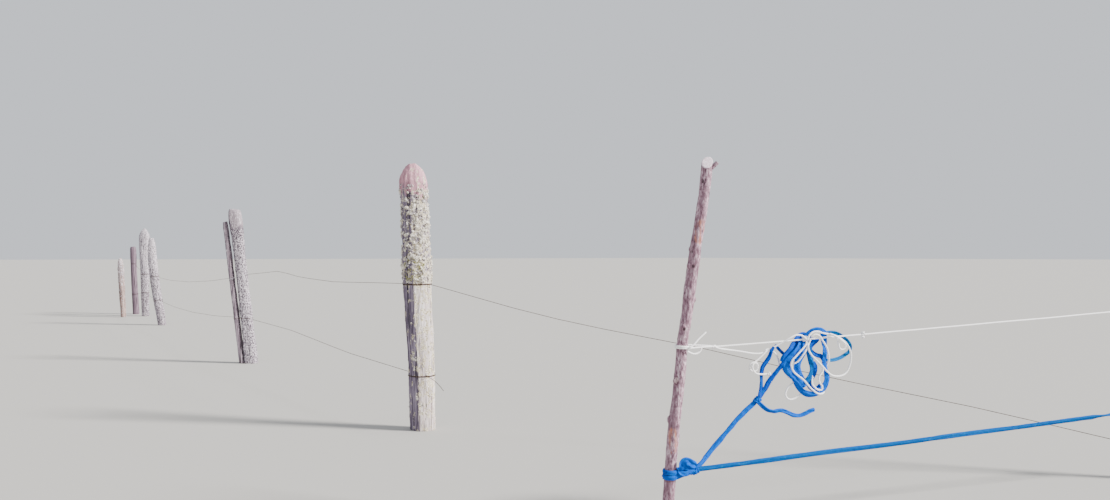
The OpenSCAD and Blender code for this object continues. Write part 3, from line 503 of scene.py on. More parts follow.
def cord_rings(line, thick, sides=12):
    """Rings of a laid cord: round, with its strands as lobes that wind along it."""
    rings = []
    walked = 0.0
    face = None
    ways = directions(line)
    for k, (point, way) in enumerate(zip(line, ways)):
        if face is None:
            face = way.orthogonal().normalized()
        face = (face - way * face.dot(way)).normalized()
        side = way.cross(face)
        if k:
            walked += (point - line[k - 1]).length
        ends = min(k, len(line) - 1 - k)
        size = thick / 2 * (1.0 if ends >= END_RINGS else 0.72 + 0.28 * ends / END_RINGS)
        ring = []
        for i in range(sides):
            a = 2 * math.pi * i / sides
            lobe = 0.92 + 0.1 * math.cos(STRANDS * (a - 2 * math.pi * walked / LAY_LENGTH))
            ring.append(point + (face * math.cos(a) + side * math.sin(a)) * size * lobe)
        rings.append(ring)
    return rings


# Where the folds of a band lie across it, from edge to edge
ACROSS = [-1, -0.84, -0.6, -0.32, 0, 0.3, 0.62, 0.86, 1]


def band_rings(line, width, thick, front, turns, gather, seed, looped=False, ends=(0.7, 0.7)):
    """Rings of a flat woven band: soft edges, folds along its width and crumples, turned as it goes.
    front is the way its face looks, turns are rows of share of the length and turn in degrees, and ends
    are how wide its two ends are, as shares of the width."""
    rings = []
    n = len(line)
    ways = directions(line, looped)
    for k, (point, way) in enumerate(zip(line, ways)):
        share = k / (n - 1)
        look = front(point) if callable(front) else front
        face = (look - way * look.dot(way)).normalized()
        side = way.cross(face)
        turn = math.radians(read_row(turns, share))
        face, side = (face * math.cos(turn) + side * math.sin(turn),
                      side * math.cos(turn) - face * math.sin(turn))
        wave = noise.noise(Vector((seed * 7.3, k * 0.13, 1.7)))
        full = min(1.0, ends[0] + k * 0.1, ends[1] + (n - 1 - k) * 0.1) if not looped else 1.0
        wide = width / 2 * (0.97 + 0.22 * gather * wave) * full
        top = []
        low = []
        for x in ACROSS:
            fold = math.sin(4.6 * x + 3.0 * wave + seed) + 0.5 * math.sin(9.3 * x - 4.0 * wave + seed)
            crumple = noise.noise(Vector((seed * 3.1 + x * 1.4, k * 0.42, 5.2)))
            lift = gather * thick * (0.3 * fold + 0.5 * crumple)
            half = thick / 2 * (1 - 0.5 * abs(x) ** 3)
            top.append(point + side * x * wide + face * (lift + half))
            low.append(point + side * x * wide + face * (lift - half))
        rings.append(top + low[::-1])
    if not looped:
        first = [a.lerp(b, 0.15) for a, b in zip(rings[0], rings[1])]
        last = [a.lerp(b, 0.15) for a, b in zip(rings[-1], rings[-2])]
        rings = [rings[0], first] + rings[1:-1] + [last, rings[-1]]
    return rings


def read_row(rows, share):
    """Value at a share of the length, between the rows given."""
    for (a, va), (b, vb) in zip(rows, rows[1:]):
        if share <= b:
            return va + (vb - va) * (share - a) / (b - a)
    return rows[-1][1]


def wound_turns(centre, axis, turns, radius, pitch):
    """A line that winds round an axis, drawn in at both ends so that its tails go under the turns."""
    axis = axis.normalized()
    a = axis.orthogonal().normalized()
    b = axis.cross(a)
    steps = round(turns * WOUND_STEPS)
    points = []
    for k in range(steps + 1):
        share = k / steps
        turn = 2 * math.pi * turns * share
        ends = min(share, 1 - share) * turns * 3
        reach = radius * (0.45 + 0.55 * min(1.0, ends))
        points.append(centre + axis * (share - 0.5) * turns * pitch
                      + (a * math.cos(turn) + b * math.sin(turn)) * reach)
    return points


def stands_for(name, others):
    """The solids a strand stands for: its own, if it has one, and others."""
    return [node for node in (name, *others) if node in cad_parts]


# Thickness of the white cord, width and thickness of the blue band, and steps along them, in metres
WHITE_D = 0.007
BAND_W = 0.018
BAND_T = 0.005
CORD_STEP = 0.0024
BAND_STEP = 0.0055
FLAT = [(0, 0), (1, 0)]


def white_strand(name, route, others=()):
    """A free piece of the white cord, along points of the gateway in mm."""
    line = smooth_line([in_gateway(p) for p in route], CORD_STEP)
    strand = skin_along(name + "_cord", cord_rings(line, WHITE_D))
    hand_over(strand, "white_cord", white_yarn, *stands_for(name, others))


def rounded(piece):
    """Softens a band's edges and folds."""
    apply(piece, "SUBSURF", levels=1, render_levels=1)
    return piece


def blue_strand(name, route, others=(), turns=FLAT, width=BAND_W, thick=BAND_T,
                finish=blue_weave, seed=0, gather=0.8, ends=(0.7, 0.7)):
    """A free piece of the blue band, along points of the gateway in mm."""
    line = smooth_line([in_gateway(p) for p in route], BAND_STEP)
    rings = band_rings(line, width, thick, ROW_FRONT, turns, gather, seed, ends=ends)
    strand = rounded(skin_along(name + "_band", rings))
    hand_over(strand, "blue_band", finish, *stands_for(name, others))


# Place of the knot where the branch of the band divides
FORK = (364, 462, 12)

# White cord: the spare length that hangs in the hank and off it
white_strand("white_slack_strand", [
    (184, 665, 26.5), (205, 659, 24), (228, 655, 17), (252, 651, 12), (279, 647, 10), (313, 641, 9),
    (348, 635, 9), (378, 634, 9), (401, 640, 9), (430, 652, 9), (453, 665, 13), (474, 677, 19),
    (496, 690, 25), (517, 699, 26), (532, 700, 25), (546, 697, 24), (558, 690, 24), (564, 683, 26),
])
white_strand("white_noose_tail", [
    (70, 671, 47.5), (80, 674, 46.5), (93, 684, 45), (107, 697, 42), (124, 710, 40), (141, 723, 38),
])
white_strand("white_noose_loop", [
    (126, 668.5, 32), (123, 658, 31.5), (116, 650, 31.5), (103, 645, 33), (89, 646, 35), (76, 651, 37),
    (66, 656, 39),
])
white_strand("white_curl", [
    (402, 646, 13.4), (391, 634, 14), (376, 621, 14), (363, 611, 14), (350, 603, 15), (338, 599, 15.5),
    (330, 590, 16), (330, 579, 17), (337, 572, 18), (348, 570, 19), (357, 576, 20), (361, 586, 21),
    (358, 597, 22), (349, 602, 23), (340, 598, 24), (336, 589, 25), (338, 577, 26.5), (346, 567, 25),
    (357, 561, 21), (370, 558.5, 17), (385, 557, 15), (399, 557, 14), (410, 558, 14),
])
white_strand("white_left_side", [
    (404, 645, 3), (418, 647, 0), (432, 642, -3), (445, 634, -4), (456, 622, -5), (464, 606, -6),
    (468, 590, -6), (476, 574, -4), (489, 560, 0), (498, 546, 2), (507, 536, 6), (518, 529, 10),
])
white_strand("white_lower_loop", [
    (533, 530, 13), (520, 522, 12), (500, 508, 12), (488, 494, 12), (483, 478, 12),
    (490, 463, 12), (506, 457, 12), (524, 461, 12), (542, 470, 11), (558, 480, 10),
])
white_strand("white_big_loop", [
    (570, 678, 25), (573, 688, 26), (579, 698, 26), (589, 707, 26), (604, 711, 27), (620, 709, 28),
    (636, 704, 29), (654, 701, 29), (680, 696, 28), (703, 687, 26), (727, 674, 22), (747, 659, 18),
    (763, 640, 14), (773, 618, 10), (775, 595, 7), (770, 574, 6), (761, 555, 6), (746, 542, 8),
    (724, 536, 11), (699, 537, 15), (677, 543, 21), (653, 559, 28), (633, 576, 33), (614, 593, 36),
    (595, 609, 37), (579, 625, 37), (569, 641, 36), (566, 656, 35), (566, 668, 33),
], ["rope_hank"])
white_strand("white_left_loop", [
    (560, 677, 34), (557, 667, 37), (544, 653, 39), (526, 637, 40), (508, 621, 40), (495, 607, 39),
    (491, 593, 38), (495, 578, 37), (503, 564, 37), (519, 551, 36), (534, 541, 36), (548, 530, 36),
    (560, 517, 36), (573, 503, 36), (588, 491, 35), (602, 481, 33), (615, 476, 31), (630, 475, 27),
    (643, 478, 20), (650, 488, 12),
])
white_strand("white_short_fall", [
    (577, 684, 33), (572, 669, 32), (563, 651, 32), (553, 637, 35), (543, 624, 34), (534, 611, 31),
    (524, 600, 28), (511, 592, 24),
])
white_strand("white_right_fall", [
    (585, 692, 28), (598, 700, 31), (611, 698, 32), (622, 690, 33), (630, 677, 33), (640, 664, 33),
    (649, 649, 33), (655, 632, 32), (660, 615, 29), (664, 598, 23), (662, 583, 16), (654, 572, 10),
])
white_strand("white_tear_loop", [
    (676, 696, 24), (690, 691, 26), (699, 680, 28), (704, 666, 28), (707, 651, 27), (714, 641, 26),
    (725, 639, 26), (735, 647, 27), (734, 658, 29), (724, 668, 32), (709, 678, 35), (694, 687, 37),
    (677, 696, 36), (660, 702, 35),
])
white_strand("white_inner_loop", [
    (612, 590, 33), (622, 583, 31), (631, 573, 31), (632, 561, 31), (624, 550, 31), (617, 541, 31),
    (616, 527, 31), (622, 514, 31), (630, 503, 31), (628, 491, 30), (614, 491, 29), (601, 500, 27),
    (592, 512, 24), (593, 526, 20), (598, 538, 15), (592, 549, 11),
])

# Turns of the white cord round the taut rope, from which the hank hangs
hitch_turns = wound_turns(in_gateway((566, 684, 16)), ROW_DIR + UP * 0.08, 3, 0.0076, 0.0072)
hitch = skin_along("white_hank_hitch", cord_rings(hitch_turns, WHITE_D, sides=10))
hand_over(hitch, "white_cord", white_yarn)

# Blue band: branch, strands, tail and the lobes of the hank
blue_strand("blue_branch", [
    (104, 232, 22), (118, 240, 22), (136, 252, 19), (159, 272, 12), (184, 297, 9), (212, 325, 10),
    (238, 352, 11), (257, 371, 12), (275, 390, 12), (298, 410, 12), (318, 427, 12), (338, 442, 12),
    (361, 460, 12),
], ["blue_fork_knot"], width=0.0195, thick=0.0085, seed=1, gather=0.4,
    turns=[(0, 20), (0.3, -12), (0.6, 14), (0.85, -10), (1, 0)])
blue_strand("blue_left_strand", [
    (364, 463, 19), (368, 475, 20), (373, 488, 16), (381, 506, 11), (385, 535, 6), (386, 562, 5),
    (391, 584, 6), (404, 602, 8), (416, 620, 10), (422, 642, 15), (431, 658, 17),
], turns=[(0, 0), (0.4, 28), (0.65, -30), (1, 10)], width=0.016,
    thick=0.007, seed=2, gather=0.5, finish=shaded_weave)
blue_strand("blue_right_strand", [
    (375, 471, 12), (384, 486, 12), (396, 504, 14), (416, 534, 14), (438, 561, 18), (456, 584, 23),
    (472, 602, 26), (488, 616, 28), (502, 626, 29),
], turns=[(0, 30), (0.3, -15), (0.7, 20), (1, 0)], width=0.019,
    thick=0.008, seed=3, gather=0.4, finish=shaded_weave)
blue_strand("blue_tail", [
    (363, 460, 5), (378, 447, 6), (396, 431, 8), (412, 421, 12), (434, 417, 14), (462, 419, 12),
    (488, 411, 10), (517, 398, 10), (543, 394, 10), (568, 401, 12), (590, 411, 14), (607, 414, 14),
], turns=[(0, 0), (0.25, 40), (0.5, 0), (0.75, -40), (1, 15)], width=0.016,
    thick=0.007, seed=4, gather=0.6, ends=(0.7, 1.0))
blue_strand("blue_lobe_front", [
    (607, 667, -2), (590, 677, -4), (568, 677, 1), (550, 662, 11), (534, 648, 22), (517, 634, 30),
    (501, 621, 32), (486, 607, 31), (477, 594, 28), (480, 580, 25), (491, 567, 23), (506, 553, 22),
    (521, 538, 22), (534, 521, 21), (544, 503, 20),
], ["rope_hank"], turns=[(0, 0), (0.3, -12), (0.55, 10), (1, 0)], width=0.034,
    thick=0.007, seed=5, ends=(0.45, 0.7))
blue_strand("blue_lobe_back", [
    (618, 672, -5), (597, 686, -10), (573, 692, -9), (553, 687, -5), (536, 676, 4), (519, 661, 13),
    (501, 644, 21), (484, 628, 24), (472, 614, 24), (462, 600, 22),
], turns=[(0, 20), (0.4, -8), (1, 14)], width=0.03, thick=0.007, seed=6,
    finish=shaded_weave, ends=(0.45, 0.7))
blue_strand("blue_outer_loop", [
    (497, 588, 6), (510, 565, 10), (519, 543, 13), (528, 521, 15), (539, 501, 16), (556, 484, 17),
    (578, 475, 18), (602, 474, 19), (625, 483, 20), (642, 496, 20), (654, 513, 20), (659, 533, 20),
    (655, 555, 20), (649, 577, 21), (646, 601, 22), (649, 624, 21), (653, 644, 17), (654, 662, 10),
    (655, 678, 5), (655, 692, 4), (650, 705, 8), (640, 713, 11),
], turns=[(0, 0), (0.25, 25), (0.45, -15), (0.7, 20), (1, -20)], width=0.024, thick=0.006,
    seed=7)
blue_strand("blue_inner_fall", [
    (583, 693, -2), (582, 681, 1), (578, 667, 11), (575, 648, 21), (580, 625, 25), (586, 601, 24),
    (591, 578, 23), (589, 558, 22), (581, 539, 22), (570, 526, 21), (558, 516, 19),
], turns=[(0, 50), (0.4, 10), (0.7, -30), (1, 0)], width=0.026, thick=0.006, seed=8,
    finish=sunlit_weave)
blue_strand("blue_left_fall", [
    (577, 692, -4), (574, 677, 0), (566, 655, 12), (554, 634, 20), (540, 617, 22), (531, 599, 21),
    (528, 580, 20), (533, 561, 19), (542, 543, 18), (553, 524, 17), (564, 502, 15),
], turns=[(0, -30), (0.5, 15), (1, -10)], width=0.03, thick=0.006, seed=9)
blue_strand("blue_top_arch", [
    (566, 672, -2), (571, 688, 2), (583, 704, 7), (600, 716, 12), (618, 720, 15), (638, 717, 16),
    (654, 708, 15), (670, 699, 12),
], turns=[(0, 30), (0.5, 0), (1, -30)], width=0.014, seed=10)
blue_strand("blue_far_arch", [
    (651, 697, 4), (667, 702, 4), (684, 704, 4), (706, 702, 4), (730, 693, 3), (750, 680, 2),
    (768, 666, 0), (779, 648, -1), (774, 628, -1), (754, 615, 0), (730, 605, 3), (703, 599, 6),
    (676, 598, 10), (656, 600, 14),
], turns=[(0, 0), (0.3, 35), (0.5, 60), (0.7, 20), (1, 0)], width=0.014, finish=paler_weave,
    seed=11)
blue_strand("blue_crossing", [
    (634, 679, 2), (614, 669, 4), (598, 656, 7), (592, 642, 10), (601, 629, 13), (618, 620, 15),
    (635, 615, 16), (646, 603, 17), (651, 585, 16),
], turns=[(0, 20), (0.5, -30), (1, 10)], width=0.018, seed=12, finish=shaded_weave)
blue_strand("blue_low_fold", [
    (603, 596, 14), (609, 573, 14), (605, 552, 13), (594, 535, 11), (586, 518, 10), (591, 500, 10),
    (608, 491, 10), (629, 495, 10), (643, 511, 10),
], turns=[(0, 0), (0.5, 30), (1, -20)], width=0.022, seed=13, finish=shaded_weave)
blue_strand("blue_dark_end", [
    (456, 662, -14), (462, 654, -13), (470, 644, -11), (480, 634, -9), (492, 624, -7), (505, 615, -5),
    (520, 606, -4),
], turns=[(0, 15), (1, -15)], width=0.013, seed=14, finish=shaded_weave)


def cord_knot(name, centre, axis, turns, radius, thick=WHITE_D):
    """A tight wound knot in the white cord."""
    return skin_along(name, cord_rings(wound_turns(centre, axis, turns, radius, thick * 0.96), thick,
                                       sides=10))


def join(name, parts):
    """Several pieces made one."""
    let_go()
    for part in parts:
        part.select_set(True)
    bpy.context.view_layer.objects.active = parts[0]
    bpy.ops.object.join()
    parts[0].name = name
    return parts[0]


def section_of(node, z):
    """Centre and mean radius of a post's solid at a height."""
    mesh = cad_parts[node].data
    cut = []
    for edge in mesh.edges:
        p = mesh.vertices[edge.vertices[0]].co
        q = mesh.vertices[edge.vertices[1]].co
        if (p.z - z) * (q.z - z) < 0:
            cut.append(p.lerp(q, (z - p.z) / (q.z - p.z)))
    lo = [min(p[i] for p in cut) for i in (0, 1)]
    hi = [max(p[i] for p in cut) for i in (0, 1)]
    centre = Vector(((lo[0] + hi[0]) / 2, (lo[1] + hi[1]) / 2, z))
    return centre, sum((p - centre).length for p in cut) / len(cut)


def on_skin(node, z, turn):
    """A point on a post's skin at a height and a turn in degrees."""
    centre, radius = section_of(node, z)
    a = math.radians(turn)
    return centre + Vector((math.cos(a), math.sin(a), 0)) * radius


# How far a strand lies off the bark
OFF_BARK = 0.0006


def noose_line(node, z, meet, way, thick, turns, rise, spread):
    """From a knot at meet along the front, some turns round the stake and back, for a strand that thick."""
    centre, radius = section_of(node, z)
    radius += thick / 2 + OFF_BARK
    opening = math.acos(radius / ((meet - centre) * Vector((1, 1, 0))).length)
    front = meet + ROW_FRONT * spread / 2
    back = meet - ROW_FRONT * spread / 2
    points = []
    steps = NOOSE_STEPS * turns
    whole = 2 * math.pi * turns - 2 * opening
    for k in range(steps + 1):
        a = opening + whole * k / steps
        round_it = ROW_DIR * way * math.cos(a) + ROW_FRONT * math.sin(a)
        points.append(centre + round_it * radius + UP * rise * (k / steps - 0.5))
    lead_in = [front.lerp(points[0], k / 5) for k in range(5)]
    lead_out = [back.lerp(points[-1], k / 5) for k in range(5)][::-1]
    return lead_in + points + lead_out


def taut_line(start, end, steps, waves, phase, uneven, sag):
    """From knot to knot: a little uneven, and sagging by what sag gives at each share of the length."""
    line = []
    for k in range(steps + 1):
        share = k / steps
        wander = noise.noise(Vector((share * waves, phase, 0.8)))
        line.append(start.lerp(end, share) + UP * (uneven * wander - sag(share)))
    return line


# The taut white rope, its nooses and its knots, which sit that far from the middles of the stakes
WHITE_REACH = 0.119 + 0.00825
SAG = 0.004
white_from = section_of("near_stake", 0.666)[0] + ROW_DIR * WHITE_REACH
white_to = section_of("end_stake", 0.767)[0] - ROW_DIR * WHITE_REACH
rope_way = (white_to - white_from).normalized()
white_line = taut_line(white_from, white_to, 44, 9, 0.3, 0.0016, lambda share: SAG * share * (1 - share) * 4)
taut = skin_along("white_taut_rope", cord_rings(smooth_line(white_line, CORD_STEP), WHITE_D))
hand_over(taut, "white_cord", white_yarn, "white_rope")


def cord_round(name, node, z, meet, way):
    """The white cord twice round a stake, from its knot at meet and back."""
    line = noose_line(node, z, meet + UP * 0.002, way, WHITE_D, 2, 0.0085, 0.008)
    return skin_along(name, cord_rings(smooth_line(line, CORD_STEP), WHITE_D))


hand_over(join("white_nooses", [
    cord_round("near_noose", "near_stake", 0.671, white_from, 1),
    cord_round("end_noose", "end_stake", 0.772, white_to, -1),
]), "white_cord", white_yarn, "white_rope_nooses")

# The small knot in the taut rope beyond the hank, and its drop
ON_TAUT = 0.827 - 0.186
on_taut = white_from.lerp(white_to, ON_TAUT / (white_to - white_from).length)
hand_over(join("white_knots", [
    cord_knot("near_knot", white_from, rope_way, 2, 0.0046),
    cord_knot("near_knot_cross", white_from + rope_way * 0.002, UP + rope_way * 0.6, 1.3, 0.005, 0.006),
    cord_knot("end_knot", white_to, rope_way, 2, 0.0046),
    cord_knot("end_knot_cross", white_to - rope_way * 0.002, UP - rope_way * 0.6, 1.3, 0.005, 0.006),
    cord_knot("small_knot", on_taut, (rope_way + UP * 0.5), 2, 0.0052),
    cord_knot("small_knot_drop", on_taut - UP * 0.014, UP, 1.6, 0.0036, 0.006),
]), "white_cord", white_yarn, "white_rope_knots")
curl_knot = cord_knot("white_curl_knot", in_gateway((412, 558, 14)), rope_way, 1.8, 0.0045, 0.0075)
hand_over(curl_knot, "white_cord", white_yarn)

# The blue band between the stakes at its two heights, its nooses and its knots
BLUE_REACH = 0.064 + 0.0244
BLUE_NEAR = 0.223
BLUE_END = 0.324
blue_from = section_of("near_stake", BLUE_NEAR)[0] + ROW_DIR * BLUE_REACH
blue_to = section_of("end_stake", BLUE_END)[0] - ROW_DIR * BLUE_REACH
blue_way = (blue_to - blue_from).normalized()
blue_line = taut_line(blue_from, blue_to, 30, 6, 4.3, 0.003, lambda share: SAG * math.sin(math.pi * share))
half_twists = [(0, 0), (0.1, 14), (0.25, -8), (0.4, 16), (0.55, -6), (0.7, 12), (0.84, 20), (0.94, 180),
               (1, 190)]
main_band = skin_along("blue_main_band", band_rings(
    smooth_line(blue_line, 0.009), 0.0195, 0.0085, ROW_FRONT, half_twists, 0.3, 21))
hand_over(rounded(main_band), "blue_band", sunlit_weave, "blue_band")


def band_round(name, node, z, meet, way, rise, seed):
    """The band once round a stake on its way back to its own knot at meet."""
    centre = section_of(node, z)[0]
    line = smooth_line(noose_line(node, z, meet, way, 0.007, 1, rise, 0.005), BAND_STEP)
    outwards = lambda p: (p - Vector((centre.x, centre.y, p.z))).normalized()
    return skin_along(name, band_rings(line, BAND_W * 0.96, 0.007, outwards, FLAT, 0.5, seed))


# The turns of a knot in the band: how tilted, how wide and how far along
KNOT_TURNS = [(0.5, 0.0135, -0.009), (-0.45, 0.015, 0.0), (0.35, 0.0135, 0.01)]


def band_knot(name, centre, axis, seed, size=1.0):
    """A tight knot in the band: three crossing turns, each gathered to a roll."""
    parts = []
    for k, (tilt, radius, along) in enumerate(KNOT_TURNS):
        way = (axis + UP * tilt).normalized()
        a = way.orthogonal().normalized()
        b = way.cross(a)
        middle = centre + axis * along * size
        ring = [middle + (a * math.cos(t) + b * math.sin(t)) * radius * size
                for t in [2 * math.pi * i / NOOSE_STEPS for i in range(NOOSE_STEPS)]]
        outwards = lambda p, c=middle: (p - c).normalized()
        parts.append(skin_along(f"{name}_turn_{k}", band_rings(
            ring, BAND_W * size, 0.0085 * size, outwards, FLAT, 0.6, seed + k, looped=True), looped=True))
    return parts


def band_ear(name, route, width, thick, turns, seed):
    """One ear of the bow on the near knot."""
    line = smooth_line([in_gateway(p) for p in route], BAND_STEP)
    return skin_along(name, band_rings(line, width, thick, ROW_FRONT, turns, 0.8, seed))


LOW_TURN = ROW_DIR * 0.008 + UP * 0.007
hand_over(rounded(join("blue_nooses", [
    band_round("near_band_noose", "near_stake", BLUE_NEAR, blue_from - ROW_DIR * 0.006, 1, 0.0, 31),
    band_round("near_band_turn", "near_stake", 0.2048, blue_from - LOW_TURN, 1, -0.001, 32),
    band_round("end_band_noose", "end_stake", BLUE_END, blue_to + ROW_DIR * 0.006, -1, 0.0, 33),
    band_round("end_band_turn", "end_stake", 0.3058, blue_to - LOW_TURN + ROW_DIR * 0.016, -1, -0.001, 34),
])), "blue_band", blue_weave, "blue_band_nooses")
ears = [
    band_ear("near_bow_ear", [
        (103, 240, 24), (95, 246, 32), (85, 252, 38), (73, 259, 41), (62, 264, 40), (54, 262, 36),
        (50, 254, 34), (47, 244, 34), (42, 235, 32),
    ], 0.03, 0.009, [(0, 10), (0.3, -20), (0.6, 20), (1, 0)], 41),
    band_ear("near_bow_low_ear", [
        (94, 230, 27), (78, 222, 32), (58, 218, 32), (42, 222, 29), (38, 231, 26), (50, 238, 28),
        (70, 238, 31), (90, 238, 28),
    ], 0.019, 0.008, [(0, 0), (0.5, 25), (1, 0)], 42),
]
knot_turns = band_knot("near_band_knot", blue_from, blue_way, 35)
knot_turns += band_knot("end_band_knot", blue_to, blue_way, 38)
hand_over(rounded(join("blue_knots", knot_turns + ears)), "blue_band", blue_weave, "blue_band_knots")
fork_axis = (ROW_DIR * 24 + UP * 19).normalized()
fork_turns = band_knot("fork_turns", in_gateway(FORK), fork_axis, 45, 0.7)
hand_over(rounded(join("blue_fork", fork_turns)), "blue_band", blue_weave)


# Posts: a copy of each solid, skinned afresh, then weathered, checked and grown over
def fresh_skin(node, name, voxel):
    """A copy of a post's or stake's solid, as one skin of even faces."""
    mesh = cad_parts[node].data.copy()
    mesh.materials.clear()
    piece = bpy.data.objects.new(name, mesh)
    bpy.context.collection.objects.link(piece)
    take_up(piece)
    bpy.ops.object.mode_set(mode="EDIT")
    bpy.ops.mesh.select_all(action="SELECT")
    bpy.ops.mesh.remove_doubles(threshold=0.00002)
    bpy.ops.mesh.normals_make_consistent(inside=False)
    bpy.ops.object.mode_set(mode="OBJECT")
    apply(piece, "REMESH", mode="VOXEL", voxel_size=voxel)
    keep_under_ties(piece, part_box(node))
    return piece


# The share of the weathering that is left under a wire, and how fast it comes back beside it
TIE_HOLD = 0.12
TIE_FADE = 0.03


def keep_under_ties(piece, box):
    """Marks the skin so that weathering fades at the wires, which stay on top of it."""
    heights = []
    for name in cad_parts:
        low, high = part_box(name)
        beside = all(low[i] < box[1][i] and high[i] > box[0][i] for i in (0, 1))
        if "tie" in name and beside:
            heights.append((low.z, high.z))
    group = piece.vertex_groups.new(name="free")
    for v in piece.data.vertices:
        away = min([max(low - v.co.z, v.co.z - high, 0.0) for low, high in heights] + [1.0])
        group.add([v.index], min(1.0, TIE_HOLD + away / TIE_FADE), "REPLACE")


def weather(piece, size, depth, stretch):
    """Pushes the skin in and out by a cloudy pattern, drawn out along the log, and applies it."""
    pattern = bpy.data.textures.new("weathering", "CLOUDS")
    pattern.noise_scale = size
    pattern.noise_depth = 3
    rule = bpy.data.objects.new("rule", None)
    rule.scale = (1, 1, stretch)
    bpy.context.collection.objects.link(rule)
    bpy.context.view_layer.update()
    apply(piece, "DISPLACE", texture=pattern, texture_coords="OBJECT", texture_coords_object=rule,
          strength=depth, mid_level=0.5, vertex_group="free")
    bpy.data.objects.remove(rule)


def burr_shape():
    """One tuft of branching lichen: a little star of points with few faces."""
    let_go()
    bpy.ops.mesh.primitive_ico_sphere_add(subdivisions=1, radius=1, location=(0, 0, 0))
    star = bpy.context.object
    for face in star.data.polygons:
        face.select = face.index % 2 == 0
    bpy.ops.object.mode_set(mode="EDIT")
    bpy.ops.mesh.select_mode(type="FACE")
    bpy.ops.mesh.poke(offset=0.55)
    bpy.ops.object.mode_set(mode="OBJECT")
    shape = [v.co * 0.8 for v in star.data.vertices], [tuple(p.vertices) for p in star.data.polygons]
    bpy.data.objects.remove(star)
    return shape


BURR = burr_shape()


# Lichen: how level a face may lie, how squarely left it looks when it is bare, its clumps in a metre,
# and the tries that a tuft may take
LEVEL = 0.95
SQUARE = 0.86
CLUMPS = 40
TRIES = 30


def grow_lichen(name, post, count, sizes, low, high, seed, clumps, scarce, near):
    """Tufts of lichen on a post between two heights, in clumps with bare gaps.
    scarce is how much rarer they are on the left face, and near is a place and a reach that they keep to."""
    dice = random.Random(seed)
    spots = [p for p in post.data.polygons if low < p.center.z < high and abs(p.normal.z) < LEVEL]
    if near:
        spots = [p for p in spots if (p.center - near[0]).length < near[1]]
    verts = []
    faces = []
    placed = 0
    tries = 0
    while placed < count and tries < count * TRIES:
        tries += 1
        spot = spots[dice.randrange(len(spots))]
        thick = noise.noise(spot.center * CLUMPS + Vector((seed, 0, 0)))
        rare = scarce if spot.normal.dot(LEFT_FACE) > SQUARE else 0.0
        if thick < dice.uniform(-0.05, 0.3) - clumps + rare:
            continue
        size = dice.uniform(*sizes) * (0.75 + 0.8 * max(0.0, thick))
        angle = dice.uniform(0, 6.28)
        turn = Matrix.Rotation(angle, 3, Vector((dice.random(), dice.random(), 0.3)).normalized())
        squash = Vector([dice.uniform(0.45, 1.35) for _ in range(3)])
        centre = spot.center + spot.normal * size * dice.uniform(-0.1, 0.5)
        base = len(verts)
        verts += [centre + (turn @ (v * squash)) * size for v in BURR[0]]
        faces += [tuple(base + i for i in face) for face in BURR[1]]
        placed += 1
    return new_piece(name, verts, faces)


# Each log: its solid, its name, its skin's face size, its slot, its finish, and its weathering as size,
# depth and stretch
LOGS = [
    ("tall_post", "tall_post_log", 0.005, "lichen_wood", tall_wood,
     [(0.16, 0.016, 1.6), (0.02, 0.008, 9.0), (0.007, 0.0035, 14.0)]),
    ("split_post", "split_post_log", 0.006, "lichen_wood", split_wood,
     [(0.14, 0.014, 1.8), (0.02, 0.008, 9.0), (0.008, 0.003, 10.0)]),
    ("split_post_slat", "split_post_slat_log", 0.005, "grey_wood", slat_wood,
     [(0.12, 0.01, 1.8), (0.015, 0.005, 10.0)]),
    ("leaning_post", "leaning_post_log", 0.008, "lichen_wood", far_wood,
     [(0.14, 0.016, 1.8), (0.022, 0.01, 8.0)]),
    ("pointed_post", "pointed_post_log", 0.008, "lichen_wood", far_wood,
     [(0.14, 0.016, 1.8), (0.022, 0.01, 8.0)]),
    ("round_post", "round_post_pole", 0.008, "smooth_wood", pole_wood,
     [(0.12, 0.008, 2.2), (0.018, 0.003, 9.0)]),
    ("short_post", "short_post_log", 0.008, "lichen_wood", short_wood,
     [(0.12, 0.014, 1.8), (0.02, 0.009, 8.0)]),
]

# What grows on each log: how many tufts of what sizes, from which height to which, their seed, how
# clumped and how scarce on the left face they are, and a height, turn and reach that they keep to
GROWTH = {
    "tall_post": [
        ("tufts", cream_tufts, 2500, (0.0026, 0.0078), 0.84, 1.38, 3, -0.02, 0.22, None),
        ("grey_tufts", grey_tufts, 1300, (0.0022, 0.0062), 0.84, 1.41, 13, 0.0, 0.22, None),
        ("clumps", cream_tufts, 130, (0.006, 0.0105), 0.86, 1.3, 21, -0.06, 0.22, None),
        ("foot_tufts", cream_tufts, 420, (0.0016, 0.004), 0.04, 0.84, 5, -0.12, 0.5, None),
        ("green_clump", green_tufts, 260, (0.002, 0.005), 0.85, 1.0, 6, 0.4, 0.22, (0.92, 318, 0.07)),
        ("left_clump", cream_tufts, 110, (0.002, 0.0052), 0.3, 0.5, 7, 0.4, 0.5, (0.415, 296, 0.03)),
        ("mid_clump", cream_tufts, 50, (0.002, 0.0045), 0.3, 0.5, 8, 0.4, 0.5, (0.356, 300, 0.016)),
        ("low_clump", cream_tufts, 40, (0.002, 0.0045), 0.1, 0.3, 9, 0.4, 0.5, (0.19, 302, 0.016)),
    ],
    "leaning_post": [("tufts", grey_tufts, 420, (0.0025, 0.006), 0.5, 1.22, 8, 0.0, 0.0, None)],
    "short_post": [("tufts", grey_tufts, 260, (0.0025, 0.006), 0.55, 0.93, 9, 0.0, 0.0, None)],
}

